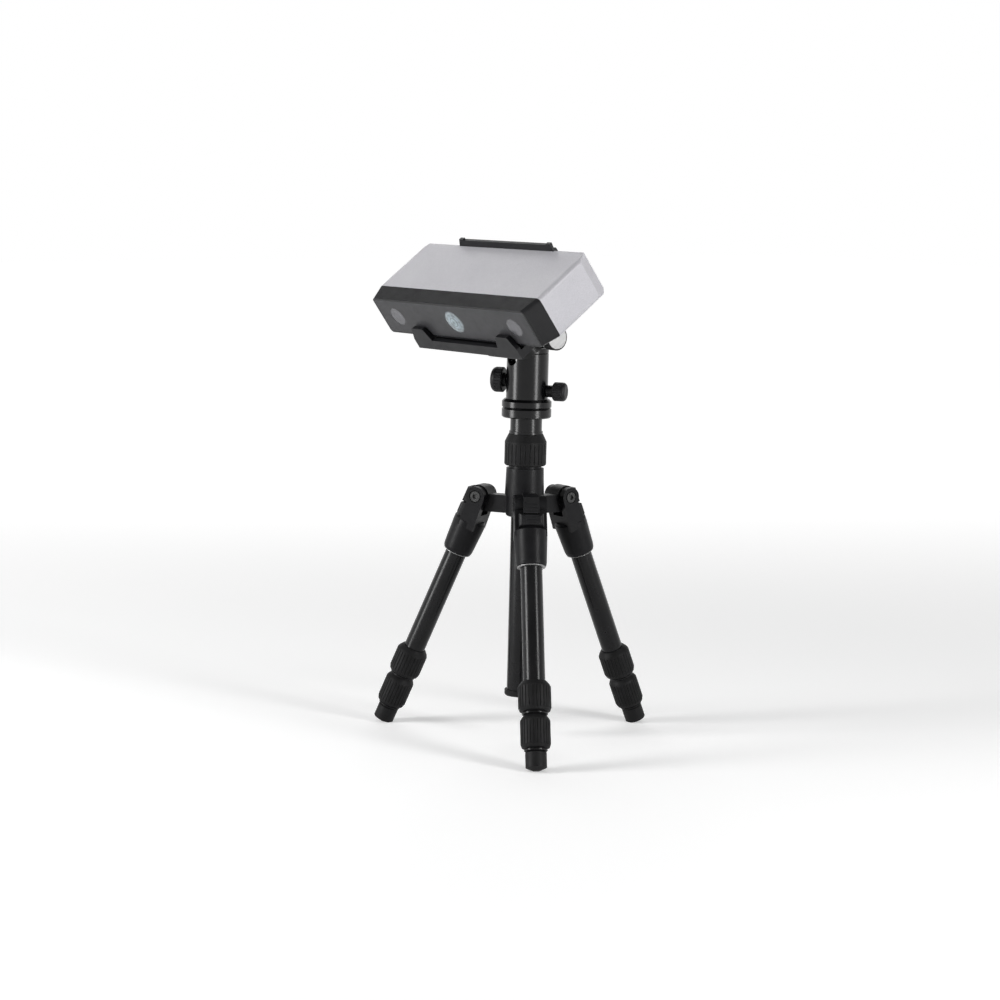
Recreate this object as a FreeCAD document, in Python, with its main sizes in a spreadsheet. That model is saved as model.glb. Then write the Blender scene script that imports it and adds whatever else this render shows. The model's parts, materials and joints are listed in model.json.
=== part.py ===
import FreeCAD, Part
import math
import os
import re
import Sketcher
from FreeCAD import Placement, Rotation, Vector

# A desktop 3D scanner: a two-camera scanning head, held in a clamping cradle,
# on a ball head and a folding three-legged stand. Millimetres, +Z up, the head's
# lenses face -Y. The origin is on the floor, under the middle of the whole object.

SIZES = {
    # scanning head
    "head_width": 264.9,
    "head_depth": 71.6,
    "head_height": 45.9,
    "shell_wall": 2.5,
    "shell_round": 4,
    "rear_bevel_width": 6,
    "rear_bevel_depth": 12,
    "rear_bottom_bevel": 3.5,
    "window_width": 208,
    "window_low": 9,
    "window_height": 28,
    "bezel_length": 19.2,
    "bezel_side_taper": 7,
    "bezel_top_taper": 1.3,
    "bezel_bottom_taper": 1.5,
    "bezel_wall": 1.8,
    "bezel_tongue": 5,
    "bezel_ledge": 3.6,
    "panel_thick": 2.2,
    "lens_spacing": 97,
    "camera_window_radius": 10.2,
    "projector_window_radius": 13,
    "window_thick": 2,
    "dome_rise": 0.9,
    "barrel_radius": 8.2,
    "barrel_gap": 0.2,
    "camera_board_width": 30,
    "camera_board_height": 27,
    "board_thick": 1.6,
    "sensor_block": 16,
    "sensor_depth": 4,
    "projector_barrel_radius": 11,
    "lens_recess": 2.4,
    "engine_width": 62,
    "engine_height": 30,
    "bench_width": 236,
    "bench_thick": 3,
    "bench_front": 6,
    "bench_length": 50,
    "bracket_width": 34,
    "bracket_height": 31,
    "post_radius": 3.5,
    "post_across": 96,
    "post_inset": 4.5,
    "upright_width": 9,
    "upright_thick": 3,
    "mainboard_width": 204,
    "mainboard_height": 29,
    "mainboard_low": 8,
    "chip_size": 14,
    "chip_thick": 1.4,
    "cover_thick": 2.5,
    "vent_slot_width": 2.4,
    "vent_slot_height": 17,
    "vent_pitch": 5.2,
    "button_x": 68,
    "button_radius": 6,
    "button_proud": 1.5,
    "button_travel": 1.2,
    "button_stem_radius": 2,
    "jack_x": -46,
    "jack_side": 11,
    "jack_bore_radius": 3.2,
    "jack_pin_radius": 1,
    "jack_depth": 9,
    "usb_x": -68,
    "usb_width": 12,
    "usb_height": 11,
    "usb_mouth_width": 8.6,
    "usb_mouth_height": 7.8,
    "usb_tongue_width": 5.6,
    "usb_tongue_height": 3,
    "screw_radius": 1.5,
    "screw_head_radius": 2.8,
    "screw_head_thick": 1.6,
    "screw_reach": 9,
    # cradle that grips the head
    "cradle_across": 4.5,
    "cradle_half_width": 85,
    "tray_thick": 8,
    "tray_drop": 11,
    "tray_bevel": 6,
    "pad_thick": 1.1,
    "lip_thick": 4.5,
    "lip_middle_half": 54.4,
    "lip_middle_top": 0.2,
    "hook_top": 14,
    "hook_top_width": 18.6,
    "hook_slope_run": 6,
    "hook_round": 2,
    "tower_half_width": 36,
    "tower_thick": 11,
    "tower_height": 34,
    "slot_half_width": 26,
    "slot_mouth_half_width": 20,
    "slot_depth": 6.5,
    "slot_mouth_depth": 3.4,
    "jaw_plate_low": 6,
    "jaw_half_width": 77,
    "jaw_hook_reach": 1.5,
    "jaw_lean": 1.8,
    "jaw_bar_low": 35,
    "jaw_rise": 7.5,
    "jaw_bar_thick": 6,
    "jaw_bar_half_width": 56,
    "jaw_lip_thick": 3,
    "jaw_end_slant": 3.4,
    "jaw_ear_width": 6,
    "jaw_dip": 1,
    "pad_run": 48,
    "pad_inset": 2,
    "hook_pad_low": 2,
    "cradle_foot_width": 44,
    "cradle_foot_depth": 40,
    # quick release
    "cradle_screw_radius": 3.1,
    "cradle_screw_head_radius": 8,
    "cradle_screw_head_thick": 3,
    "cradle_screw_bite": 6,
    "screw_slot_width": 1,
    "clamp_under": 23.5,
    "clamp_floor": 8.5,
    "clamp_depth": 50,
    "clamp_left": 31,
    "clamp_right": 31,
    "clamp_jaw_thick": 14.5,
    "clamp_round": 14,
    "clamp_jaw_height": 16.5,
    "plate_centre": 3,
    "plate_half_width": 22,
    "plate_foot_height": 2,
    "dovetail_bevel": 2.5,
    "plate_gap": 0.3,
    "plate_height": 10.4,
    "clamp_screw_radius": 2.5,
    "clamp_screw_back": 7.5,
    "clamp_screw_rise": 4,
    "clamp_screw_length": 52,
    "clamp_hub_radius": 7,
    "clamp_hub_length": 3,
    "clamp_knob_radius": 12.5,
    "clamp_knob_length": 11.5,
    "knob_cap_radius": 11,
    "knob_cap_thick": 1.2,
    "flute_radius": 0.7,
    # ball head
    "ball_height": 385,
    "ball_radius": 15,
    "stem_radius": 7,
    "stem_disc_radius": 14,
    "stem_disc_thick": 2.6,
    "stud_radius": 3,
    "stud_length": 6,
    "head_pitch": 36.6,
    "head_roll": -0.76,
    "head_rise": 61.7,
    "head_back": -27.9,
    "head_across": -4.5,
    "housing_radius": 21,
    "housing_top": 394,
    "housing_bore_radius": 15.6,
    "housing_floor_low": 358.5,
    "housing_floor_high": 361.5,
    "rim_round": 1.6,
    "notch_width": 15,
    "notch_low": 380.5,
    "seat_top": 379,
    "seat_bore_radius": 6,
    "main_knob_height": 364.6,
    "main_knob_azimuth": 215,
    "main_knob_radius": 12.7,
    "main_knob_start": 24,
    "main_knob_end": 36.6,
    "main_knob_round": 5,
    "main_knob_neck": 7,
    "main_screw_radius": 3,
    "pan_knob_height": 355.2,
    "pan_knob_azimuth": 35,
    "pan_knob_radius": 9.5,
    "pan_knob_start": 28,
    "pan_knob_end": 41,
    "pan_knob_round": 3.5,
    "pan_knob_neck": 6,
    "pan_screw_radius": 2.5,
    "knob_gap": 0.3,
    "pan_base_low": 337.8,
    "pan_base_radius": 25,
    "pan_base_thick": 8.9,
    "spigot_radius": 14.9,
    "spigot_height": 11.4,
    # centre column
    "platform_low": 328,
    "platform_radius": 25,
    "platform_chamfer": 1.2,
    "neck_radius": 16,
    "flange_low": 311.7,
    "flange_radius": 17,
    "flange_thick": 2.4,
    "plug_length": 16,
    "column_radius": 13,
    "column_wall": 1.5,
    "column_low": 50,
    "cap_radius": 15.2,
    "cap_thick": 6,
    "cap_plug_length": 10,
    "column_lock_low": 279.6,
    "column_lock_straight": 24,
    "column_lock_height": 31.7,
    "column_lock_radius": 21.1,
    "column_lock_top_radius": 17.3,
    "lock_lip": 11,
    # spider that joins the legs
    "spider_top": 276.8,
    "spider_top_radius": 18.9,
    "spider_waist_radius": 19.8,
    "spider_waist_low": 249.5,
    "spider_hub_radius": 18.4,
    "spider_low": 228,
    "spider_neck_radius": 16.4,
    "spider_neck_top": 300,
    "arm_width": 13.6,
    "arm_above": 2.5,
    "arm_below": 15.4,
    "lug_width": 15.4,
    "lug_radius": 11.3,
    "relief_radius": 8.4,
    # legs
    "hinge_radius": 47.5,
    "hinge_height": 245.6,
    "leg_angle": 23.6,
    "stand_turn": -1.3,
    "fork_width": 32,
    "fork_radius": 10,
    "fork_foot_half": 12.5,
    "fork_length": 34,
    "ear_edge": 6.5,
    "shoulder_low": 26,
    "shoulder_run": 2.4,
    "slot_clear": 0.2,
    "slot_bottom": 17.6,
    "sleeve_radius": 16.6,
    "sleeve_end_radius": 14.8,
    "sleeve_end": 64,
    "sleeve_round": 4,
    "bolt_radius": 3,
    "bolt_head_radius": 5.3,
    "bolt_sink_radius": 6.3,
    "bolt_head_thick": 2.6,
    "hex_socket_radius": 2.6,
    "hex_socket_depth": 1.8,
    "tab_top": -3.5,
    "tab_face": 14,
    "tab_inner": 11.7,
    "tab_block_top": 12.2,
    "tab_block_bottom": 25.5,
    "tab_block_half": 12.4,
    "tab_round": 4,
    "nose_top": 1,
    "nose_inner": 8.7,
    "rib_pitch": 3.2,
    "rib_height": 0.8,
    "rib_thick": 1.2,
    "rib_width": 12,
    "tube_start": 32,
    "upper_tube_radius": 10.8,
    "upper_tube_end": 206,
    "middle_tube_radius": 9.4,
    "middle_tube_start": 62,
    "middle_tube_end": 241,
    "lower_tube_radius": 8.1,
    "lower_tube_start": 60,
    "lower_tube_end": 262,
    "tube_wall": 1.2,
    "upper_lock_start": 179,
    "upper_lock_end": 212,
    "upper_lock_radius": 16.2,
    "lower_lock_end": 248,
    "lower_lock_radius": 14.8,
    "lock_gap": 0.4,
    "lock_chamfer": 1.2,
    "lock_shoulder_run": 4.6,
    "lock_neck_drop": 4,
    "lock_neck_length": 2.2,
    "foot_radius": 10.5,
    "foot_flat_depth": 0.5,
    "foot_tip_radius": 3.5,
    # fits
    "running_fit": 0.05,
    "slip_fit": 0.1,
    "seat_gap": 0.2,
    "overrun": 2,
}

COUNTS = {"lock_flutes": 28, "knob_flutes": 24, "vents": 11, "tab_ribs": 7, "legs": 3}
CHIP_SHARES = (-1.6, 0.4, 2.4)

FULL_TURN = 360
QUARTER_TURN = 90
TINY = 1e-6
PARALLEL = 0.99
LEANING = 0.8
WORD = re.compile(r"[a-z_]+")
SIDEWAYS = Rotation(Vector(0, 1, 0), QUARTER_TURN)
BACKWARD = Rotation(Vector(1, 0, 0), -QUARTER_TURN)
FORWARD = Rotation(Vector(1, 0, 0), QUARTER_TURN)

pieces = []

doc = FreeCAD.newDocument("desktop_scanner")
sheet = doc.addObject("Spreadsheet::Sheet", "sizes")
for row, (alias, number) in enumerate(SIZES.items(), start=1):
    sheet.set(f"A{row}", alias)
    sheet.set(f"B{row}", str(number))
    sheet.setAlias(f"B{row}", alias)
doc.recompute()


def size(alias):
    """A driving dimension, as the sheet holds it."""
    return float(sheet.get(alias))


def named(expression):
    """An expression of aliases, with the sheet's name put before each alias."""
    return WORD.sub(lambda word: "sizes." + word[0] if word[0] in SIZES else word[0], expression)


def circle(across, up, radius):
    """A round loop of a sketch."""
    return {"centre": (across, up), "radius": radius}


def box(left, low, right, high):
    """A rectangular loop of a sketch."""
    return [(left, low), (right, low), (right, high), (left, high)]


class Piece:
    """One named piece of the object: a body, and the features added to it in order."""

    def __init__(self, label):
        self.body = doc.addObject("PartDesign::Body", label)
        self.body.Label = label

    def number(self, expression):
        """The value of an expression of aliases."""
        value = self.body.evalExpression(named(expression))
        return float(getattr(value, "Value", value))

    def datum(self, role):
        """One of the body's own origin planes or axes."""
        return next(item for item in self.body.Origin.OriginFeatures if item.Role == role)

    def tie(self, drawing, kind, element, point, expression):
        """Hold one coordinate or radius of a sketch element to an expression."""
        value = self.number(expression)
        place = (element,) if kind == "Radius" else (-1, 1, element, point)
        index = drawing.addConstraint(Sketcher.Constraint(kind, *place, value))
        drawing.setExpression(f"Constraints[{index}]", named(expression))

    def draw_circle(self, drawing, loop):
        """Add a round loop, held by its centre and its radius."""
        across, up = loop["centre"]
        middle = Vector(self.number(across), self.number(up), 0)
        ring = Part.Circle(middle, Vector(0, 0, 1), self.number(loop["radius"]))
        element = drawing.addGeometry(ring, False)
        self.tie(drawing, "DistanceX", element, 3, across)
        self.tie(drawing, "DistanceY", element, 3, up)
        self.tie(drawing, "Radius", element, 0, loop["radius"])

    def draw_outline(self, drawing, loop):
        """Add a closed loop of corners. A circle between two corners bends the side
        between them round its centre, and such a corner names the coordinate it frees."""
        corners = [item for item in loop if not isinstance(item, dict)]
        bends = {}
        for item in loop:
            if isinstance(item, dict):
                bends[passed] = item
            else:
                passed = corners.index(item)
        places = [Vector(self.number(corner[0]), self.number(corner[1]), 0) for corner in corners]
        elements = []
        for index, start in enumerate(places):
            end = places[(index + 1) % len(places)]
            if index in bends:
                bend = bends[index]
                middle = Vector(self.number(bend["centre"][0]), self.number(bend["centre"][1]), 0)
                outward = (start + end) * 0.5 - middle
                outward.normalize()
                crest = middle + outward * self.number(bend["radius"])
                side = Part.Arc(start, crest, end)
            else:
                side = Part.LineSegment(start, end)
            elements.append(drawing.addGeometry(side, False))
        starts = []
        for element, place in zip(elements, places):
            apart = drawing.getPoint(element, 1).distanceToPoint(place)
            starts.append(1 if apart < TINY else 2)
        for index, element in enumerate(elements):
            following = (index + 1) % len(elements)
            end = 3 - starts[index]
            meeting = (element, end, elements[following], starts[following])
            drawing.addConstraint(Sketcher.Constraint("Coincident", *meeting))
        for index, bend in bends.items():
            self.tie(drawing, "DistanceX", elements[index], 3, bend["centre"][0])
            self.tie(drawing, "DistanceY", elements[index], 3, bend["centre"][1])
            self.tie(drawing, "Radius", elements[index], 0, bend["radius"])
        for index, corner in enumerate(corners):
            free = corner[2] if len(corner) > 2 else ""
            if free != "across":
                self.tie(drawing, "DistanceX", elements[index], starts[index], corner[0])
            if free != "up":
                self.tie(drawing, "DistanceY", elements[index], starts[index], corner[1])

    def sketch(self, plane, loops, level="0"):
        """A sketch of closed loops on one of the body's planes, raised to a level."""
        drawing = self.body.newObject("Sketcher::SketchObject", self.body.Label + "_sketch")
        drawing.AttachmentSupport = (self.datum(plane), [""])
        drawing.MapMode = "FlatFace"
        drawing.setExpression("AttachmentOffset.Base.z", named(level))
        for loop in loops:
            if isinstance(loop, dict):
                self.draw_circle(drawing, loop)
            else:
                self.draw_outline(drawing, loop)
        return drawing

    def feature(self, kind, drawing=None):
        """A new feature at the end of the body."""
        added = self.body.newObject("PartDesign::" + kind, self.body.Label + "_" + kind.lower())
        if drawing is not None:
            added.Profile = drawing
            drawing.Visibility = False
        return added

    def extrude(self, kind, plane, loops, low, high):
        """Run loops from low to high along the axis square to the plane."""
        level = f"-({high})" if plane == "XZ_Plane" else low
        added = self.feature(kind, self.sketch(plane, loops, level))
        added.setExpression("Length", named(f"({high}) - ({low})"))
        return added

    def pad(self, plane, loops, low, high):
        """Add material between two levels."""
        added = self.extrude("Pad", plane, loops, low, high)
        doc.recompute()
        return added

    def cut(self, plane, loops, low, high):
        """Take material away between two levels."""
        before = self.body.Shape.Volume
        added = self.extrude("Pocket", plane, loops, low, high)
        added.Reversed = True
        doc.recompute()
        if self.body.Shape.Volume >= before:
            raise RuntimeError(f"a cut of {self.body.Label} takes nothing away")
        return added

    def turn(self, *loops):
        """Turn loops, drawn as radius and height, all the way round the Z axis."""
        drawing = self.sketch("XZ_Plane", loops)
        added = self.feature("Revolution", drawing)
        added.ReferenceAxis = (drawing, ["V_Axis"])
        added.Angle = FULL_TURN
        doc.recompute()
        return added

    def drill(self, height, azimuth, radius, near, far):
        """A round hole square to the Z axis, from one distance off that axis to another."""
        before = self.body.Shape.Volume
        drawing = self.sketch("XY_Plane", [circle("0", "0", radius)])
        heading = Rotation(Vector(0, 0, 1), size(azimuth)) * SIDEWAYS
        start = heading.multVec(Vector(0, 0, self.number(near)))
        start.z += size(height)
        drawing.setExpression("AttachmentOffset.Base.z", None)
        drawing.AttachmentOffset = Placement(start, heading)
        added = self.feature("Pocket", drawing)
        added.setExpression("Length", named(f"({far}) - ({near})"))
        added.Reversed = True
        doc.recompute()
        if self.body.Shape.Volume >= before:
            raise RuntimeError(f"a hole of {self.body.Label} takes nothing away")
        return added

    def around(self, count, features):
        """Repeat features evenly round the Z axis."""
        pattern = self.feature("PolarPattern")
        pattern.Originals = features
        pattern.Axis = (self.datum("Z_Axis"), [""])
        pattern.Angle = FULL_TURN
        pattern.Occurrences = count
        self.body.Tip = pattern
        doc.recompute()
        return pattern

    def mirror(self, plane, features):
        """Repeat features on the other side of one of the body's planes."""
        mirrored = self.feature("Mirrored")
        mirrored.Originals = features
        mirrored.MirrorPlane = (self.datum(plane), [""])
        self.body.Tip = mirrored
        doc.recompute()
        return mirrored

    def dress(self, kind, measure, expression, wanted):
        """Round or bevel the edges that a test picks by their middle and direction."""
        base = self.body.Tip
        names = []
        for index, edge in enumerate(base.Shape.Edges, start=1):
            ends = [vertex.Point for vertex in edge.Vertexes]
            along = ends[-1] - ends[0]
            if along.Length > TINY:
                along.normalize()
            if wanted(edge.BoundBox.Center, along):
                names.append(f"Edge{index}")
        if not names:
            raise RuntimeError(f"no edge of {self.body.Label} is picked")
        added = self.feature(kind)
        added.Base = (base, names)
        added.setExpression(measure, named(expression))
        doc.recompute()
        return added

    def round_edges(self, expression, wanted):
        """Round edges to a radius."""
        return self.dress("Fillet", "Radius", expression, wanted)

    def bevel_edges(self, expression, wanted):
        """Bevel edges by a length."""
        return self.dress("Chamfer", "Size", expression, wanted)

    def place(self, placement):
        """Stand the finished piece in its frame."""
        self.body.Placement = placement
        pieces.append(self.body)


def column_offset():
    """How far the column stands from the middle of the whole object, along Y."""
    pitch = math.radians(size("head_pitch"))
    lean = math.radians(size("leg_angle"))
    front_back = size("head_back") - size("bezel_length")
    front_top = size("head_rise") + size("head_height") - size("bezel_top_taper")
    front = front_back * math.cos(pitch) - front_top * math.sin(pitch)
    foot_rim = size("hinge_height") / math.cos(lean) - size("foot_radius") * math.tan(lean)
    foot_end = foot_rim + size("foot_flat_depth")
    rear = size("hinge_radius") + foot_end * math.sin(lean) + size("foot_radius") * math.cos(lean)
    return -(front + rear) / 2


STAND = Placement(Vector(0, column_offset(), 0), Rotation())
LEANS = Rotation(Vector(1, 0, 0), size("head_pitch")) * Rotation(Vector(0, 1, 0), size("head_roll"))
TILT = STAND * Placement(Vector(0, 0, size("ball_height")), LEANS)
HEAD = TILT * Placement(
    Vector(size("head_across"), size("head_back"), size("head_rise")), Rotation()
)
CRADLE = HEAD * Placement(Vector(size("cradle_across"), 0, 0), Rotation())


def leg_frame(azimuth):
    """A leg's own frame: its hinge at the origin, its tube down along -Z, +X outward."""
    turned = Placement(Vector(), Rotation(Vector(0, 0, 1), azimuth))
    hinge = Vector(size("hinge_radius"), 0, size("hinge_height"))
    return STAND * turned * Placement(hinge, Rotation(Vector(0, 1, 0), -size("leg_angle")))


def knob_frame(azimuth, height):
    """A side knob's frame: +Z runs outward from the column's axis along the knob."""
    turned = Rotation(Vector(0, 0, 1), size(azimuth)) * SIDEWAYS
    return STAND * Placement(Vector(0, 0, size(height)), turned)


# The scanning head. Its frame has X along the width, Y from the seam between the silver
# shell and the black bezel towards the back, and Z up from the flat bottom.

HALF = "head_width / 2"
LENS_LEVEL = "(bezel_bottom_taper + head_height - bezel_top_taper) / 2"
COVER_MIDDLE = "(window_low + window_height / 2)"
BENCH_TOP = "(shell_wall + slip_fit + bench_thick)"
BENCH_BACK = "(bench_front + bench_length)"
BRACKET_BACK = "(bench_front + bench_thick)"
BOARD_FRONT = f"({BENCH_BACK} + seat_gap)"
BOARD_BACK = f"({BOARD_FRONT} + board_thick)"
COVER_FRONT = "(head_depth - cover_thick)"
WINDOW_BACK = "(-bezel_length + slip_fit + window_thick)"
SCREW_PLACES = [
    (f"{side} * post_across", level)
    for side in ("-1", "1")
    for level in ("window_low + post_inset", "window_low + window_height - post_inset")
]


def head_shell():
    piece = Piece("head_shell")
    piece.pad("XZ_Plane", [box(f"-{HALF}", "0", HALF, "head_height")], "0", "head_depth")
    piece.round_edges("shell_round", lambda at, along: abs(along.y) > PARALLEL)
    wide = "rear_bevel_width"
    deep = "rear_bevel_depth"
    corner = [
        (HALF, f"head_depth - {deep}"),
        (f"{HALF} + overrun", f"head_depth - {deep}"),
        (f"{HALF} + overrun", "head_depth + overrun"),
        (f"{HALF} - {wide} * (1 + overrun / {deep})", "head_depth + overrun"),
    ]
    side = piece.cut("XY_Plane", [corner], "-overrun", "head_height + overrun")
    piece.mirror("YZ_Plane", [side])
    heel = [
        ("head_depth - rear_bottom_bevel - overrun", "-overrun"),
        ("head_depth + overrun", "-overrun"),
        ("head_depth + overrun", "rear_bottom_bevel + overrun"),
    ]
    piece.cut("YZ_Plane", [heel], f"-{HALF} - overrun", f"{HALF} + overrun")
    slant = f"sqrt({wide}^2 + {deep}^2)"
    side_end = f"(head_depth - {deep} - shell_wall * ({slant} - {deep}) / {wide})"
    back_end = f"({HALF} - {wide} - shell_wall * ({slant} - {wide}) / {deep})"
    inner = [
        (f"shell_wall - {HALF}", "-overrun"),
        (f"{HALF} - shell_wall", "-overrun"),
        (f"{HALF} - shell_wall", side_end),
        (back_end, "head_depth - shell_wall"),
        (f"-{back_end}", "head_depth - shell_wall"),
        (f"shell_wall - {HALF}", side_end),
    ]
    piece.cut("XY_Plane", [inner], "shell_wall", "head_height - shell_wall")
    window = box("-window_width / 2", "window_low", "window_width / 2", "window_low + window_height")
    piece.cut("XZ_Plane", [window], "head_depth - shell_wall - overrun", "head_depth + overrun")
    piece.place(HEAD)


def rear_cover():
    piece = Piece("rear_cover")
    half = "(window_width / 2 - seat_gap)"
    plate = box(f"-{half}", "window_low + seat_gap", half, "window_low + window_height - seat_gap")
    piece.pad("XZ_Plane", [plate], COVER_FRONT, "head_depth")
    holes = [circle(across, up, "screw_radius + running_fit") for across, up in SCREW_PLACES]
    holes.append(circle("button_x", COVER_MIDDLE, "button_radius + slip_fit"))
    holes.append(circle("jack_x", COVER_MIDDLE, "jack_bore_radius + seat_gap"))
    usb_half_width = "(usb_mouth_width / 2 + seat_gap)"
    usb_half_height = "(usb_mouth_height / 2 + seat_gap)"
    holes.append(
        box(
            f"usb_x - {usb_half_width}",
            f"{COVER_MIDDLE} - {usb_half_height}",
            f"usb_x + {usb_half_width}",
            f"{COVER_MIDDLE} + {usb_half_height}",
        )
    )
    for index in range(COUNTS["vents"]):
        middle = f"({index - COUNTS['vents'] // 2} * vent_pitch)"
        holes.append(
            box(
                f"{middle} - vent_slot_width / 2",
                f"{COVER_MIDDLE} - vent_slot_height / 2",
                f"{middle} + vent_slot_width / 2",
                f"{COVER_MIDDLE} + vent_slot_height / 2",
            )
        )
    piece.cut("XZ_Plane", holes, f"{COVER_FRONT} - overrun", "head_depth + overrun")
    piece.place(HEAD)


def cover_screws():
    piece = Piece("cover_screws")
    shanks = [circle(across, up, "screw_radius") for across, up in SCREW_PLACES]
    piece.pad("XZ_Plane", shanks, "head_depth - screw_reach", "head_depth")
    heads = [circle(across, up, "screw_head_radius") for across, up in SCREW_PLACES]
    piece.pad("XZ_Plane", heads, "head_depth", "head_depth + screw_head_thick")
    sockets = [circle(across, up, "screw_radius") for across, up in SCREW_PLACES]
    piece.cut("XZ_Plane", sockets, "head_depth + screw_head_thick / 2", "head_depth + overrun")
    piece.place(HEAD)


def front_bezel():
    piece = Piece("front_bezel")
    plan = [
        (f"-{HALF}", "0"),
        (HALF, "0"),
        (f"{HALF} - bezel_side_taper", "-bezel_length"),
        (f"bezel_side_taper - {HALF}", "-bezel_length"),
    ]
    piece.pad("XY_Plane", [plan], "0", "head_height")
    run = "(bezel_length + overrun)"
    top = [
        ("0", "head_height"),
        (f"-{run}", f"head_height - bezel_top_taper * {run} / bezel_length"),
        (f"-{run}", "head_height + overrun"),
        ("0", "head_height + overrun"),
    ]
    bottom = [
        ("0", "0"),
        (f"-{run}", f"bezel_bottom_taper * {run} / bezel_length"),
        (f"-{run}", "-overrun"),
        ("0", "-overrun"),
    ]
    piece.cut("YZ_Plane", [top], f"-{HALF} - overrun", f"{HALF} + overrun")
    piece.cut("YZ_Plane", [bottom], f"-{HALF} - overrun", f"{HALF} + overrun")
    half = size("head_width") / 2 - size("bezel_side_taper") - TINY
    length = size("bezel_length")
    piece.round_edges(
        "shell_round",
        lambda at, along: abs(along.y) > LEANING and abs(at.x) > half and abs(at.y + length / 2) < length / 4,
    )
    inset = "(shell_wall + slip_fit)"
    tongue = box(f"{inset} - {HALF}", inset, f"{HALF} - {inset}", f"head_height - {inset}")
    piece.pad("XZ_Plane", [tongue], "0", "bezel_tongue")
    through = box(
        f"bezel_side_taper + bezel_ledge - {HALF}",
        "bezel_bottom_taper + bezel_ledge",
        f"{HALF} - bezel_side_taper - bezel_ledge",
        "head_height - bezel_top_taper - bezel_ledge",
    )
    piece.cut("XZ_Plane", [through], f"-{run}", "bezel_tongue + overrun")
    recess = box(
        f"bezel_side_taper + bezel_wall - {HALF}",
        "bezel_bottom_taper + bezel_wall",
        f"{HALF} - bezel_side_taper - bezel_wall",
        "head_height - bezel_top_taper - bezel_wall",
    )
    piece.cut("XZ_Plane", [recess], f"-{run}", "panel_thick - bezel_length")
    piece.place(HEAD)


def front_panel():
    piece = Piece("front_panel")
    plate = box(
        f"bezel_side_taper + bezel_wall + slip_fit - {HALF}",
        "bezel_bottom_taper + bezel_wall + slip_fit",
        f"{HALF} - bezel_side_taper - bezel_wall - slip_fit",
        "head_height - bezel_top_taper - bezel_wall - slip_fit",
    )
    piece.pad("XZ_Plane", [plate], "-bezel_length", "panel_thick - bezel_length - slip_fit")
    holes = [
        circle("-lens_spacing", LENS_LEVEL, "camera_window_radius + slip_fit"),
        circle("0", LENS_LEVEL, "projector_window_radius + slip_fit"),
        circle("lens_spacing", LENS_LEVEL, "camera_window_radius + slip_fit"),
    ]
    piece.cut("XZ_Plane", holes, "-bezel_length - overrun", "overrun - bezel_length + panel_thick")
    piece.place(HEAD)


def camera_windows():
    piece = Piece("camera_windows")
    discs = [circle(f"{side} * lens_spacing", LENS_LEVEL, "camera_window_radius") for side in ("-1", "1")]
    piece.pad("XZ_Plane", discs, "slip_fit - bezel_length", WINDOW_BACK)
    piece.place(HEAD)


def projector_window():
    """A slightly domed glass, turned about its own axis, which points forward."""
    piece = Piece("projector_window")
    crown = "(projector_window_radius^2 + dome_rise^2) / (2 * dome_rise)"
    piece.turn(
        [
            ("0", "-window_thick"),
            ("projector_window_radius", "-window_thick"),
            ("projector_window_radius", "0", "up"),
            circle("0", f"dome_rise - {crown}", crown),
            ("0", "dome_rise", "up"),
        ]
    )
    level = piece.number(LENS_LEVEL)
    middle = Vector(0, size("slip_fit") - size("bezel_length"), level)
    piece.place(HEAD * Placement(middle, FORWARD))


def camera_modules():
    piece = Piece("camera_modules")
    front = f"({WINDOW_BACK} + barrel_gap)"
    block_back = f"({BRACKET_BACK} + seat_gap + sensor_depth)"
    barrel = piece.pad("XZ_Plane", [circle("lens_spacing", LENS_LEVEL, "barrel_radius")], front, block_back)
    block = box(
        "lens_spacing - sensor_block / 2",
        f"{LENS_LEVEL} - sensor_block / 2",
        "lens_spacing + sensor_block / 2",
        f"{LENS_LEVEL} + sensor_block / 2",
    )
    housing = piece.pad("XZ_Plane", [block], f"{BRACKET_BACK} + seat_gap", block_back)
    card = box(
        "lens_spacing - camera_board_width / 2",
        f"{LENS_LEVEL} - camera_board_height / 2",
        "lens_spacing + camera_board_width / 2",
        f"{LENS_LEVEL} + camera_board_height / 2",
    )
    board = piece.pad("XZ_Plane", [card], block_back, f"{block_back} + board_thick")
    recess = circle("lens_spacing", LENS_LEVEL, "barrel_radius - lens_recess")
    mouth = piece.cut("XZ_Plane", [recess], f"{front} - overrun", f"{front} + lens_recess")
    piece.mirror("YZ_Plane", [barrel, housing, board, mouth])
    piece.place(HEAD)


def projector_lens():
    piece = Piece("projector_lens")
    front = f"({WINDOW_BACK} + barrel_gap)"
    outer = circle("0", LENS_LEVEL, "projector_barrel_radius")
    piece.pad("XZ_Plane", [outer], front, f"{BRACKET_BACK} + seat_gap")
    recess = circle("0", LENS_LEVEL, "projector_barrel_radius - lens_recess")
    piece.cut("XZ_Plane", [recess], f"{front} - overrun", f"{front} + lens_recess")
    piece.place(HEAD)


def projector_engine():
    piece = Piece("projector_engine")
    low = f"({BENCH_TOP} + slip_fit)"
    front = f"({BRACKET_BACK} + 2 * seat_gap)"
    block = box("-engine_width / 2", low, "engine_width / 2", f"{low} + engine_height")
    piece.pad("XZ_Plane", [block], front, f"{BENCH_BACK} - seat_gap")
    fins = []
    for index in range(COUNTS["vents"]):
        middle = f"({index - COUNTS['vents'] // 2} * vent_pitch)"
        fins.append(
            box(
                f"{middle} - vent_slot_width / 2",
                f"{front} + sensor_depth",
                f"{middle} + vent_slot_width / 2",
                f"{BENCH_BACK} - sensor_depth",
            )
        )
    piece.cut("XY_Plane", fins, f"{low} + engine_height / 2", f"{low} + engine_height + overrun")
    piece.place(HEAD)


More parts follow.
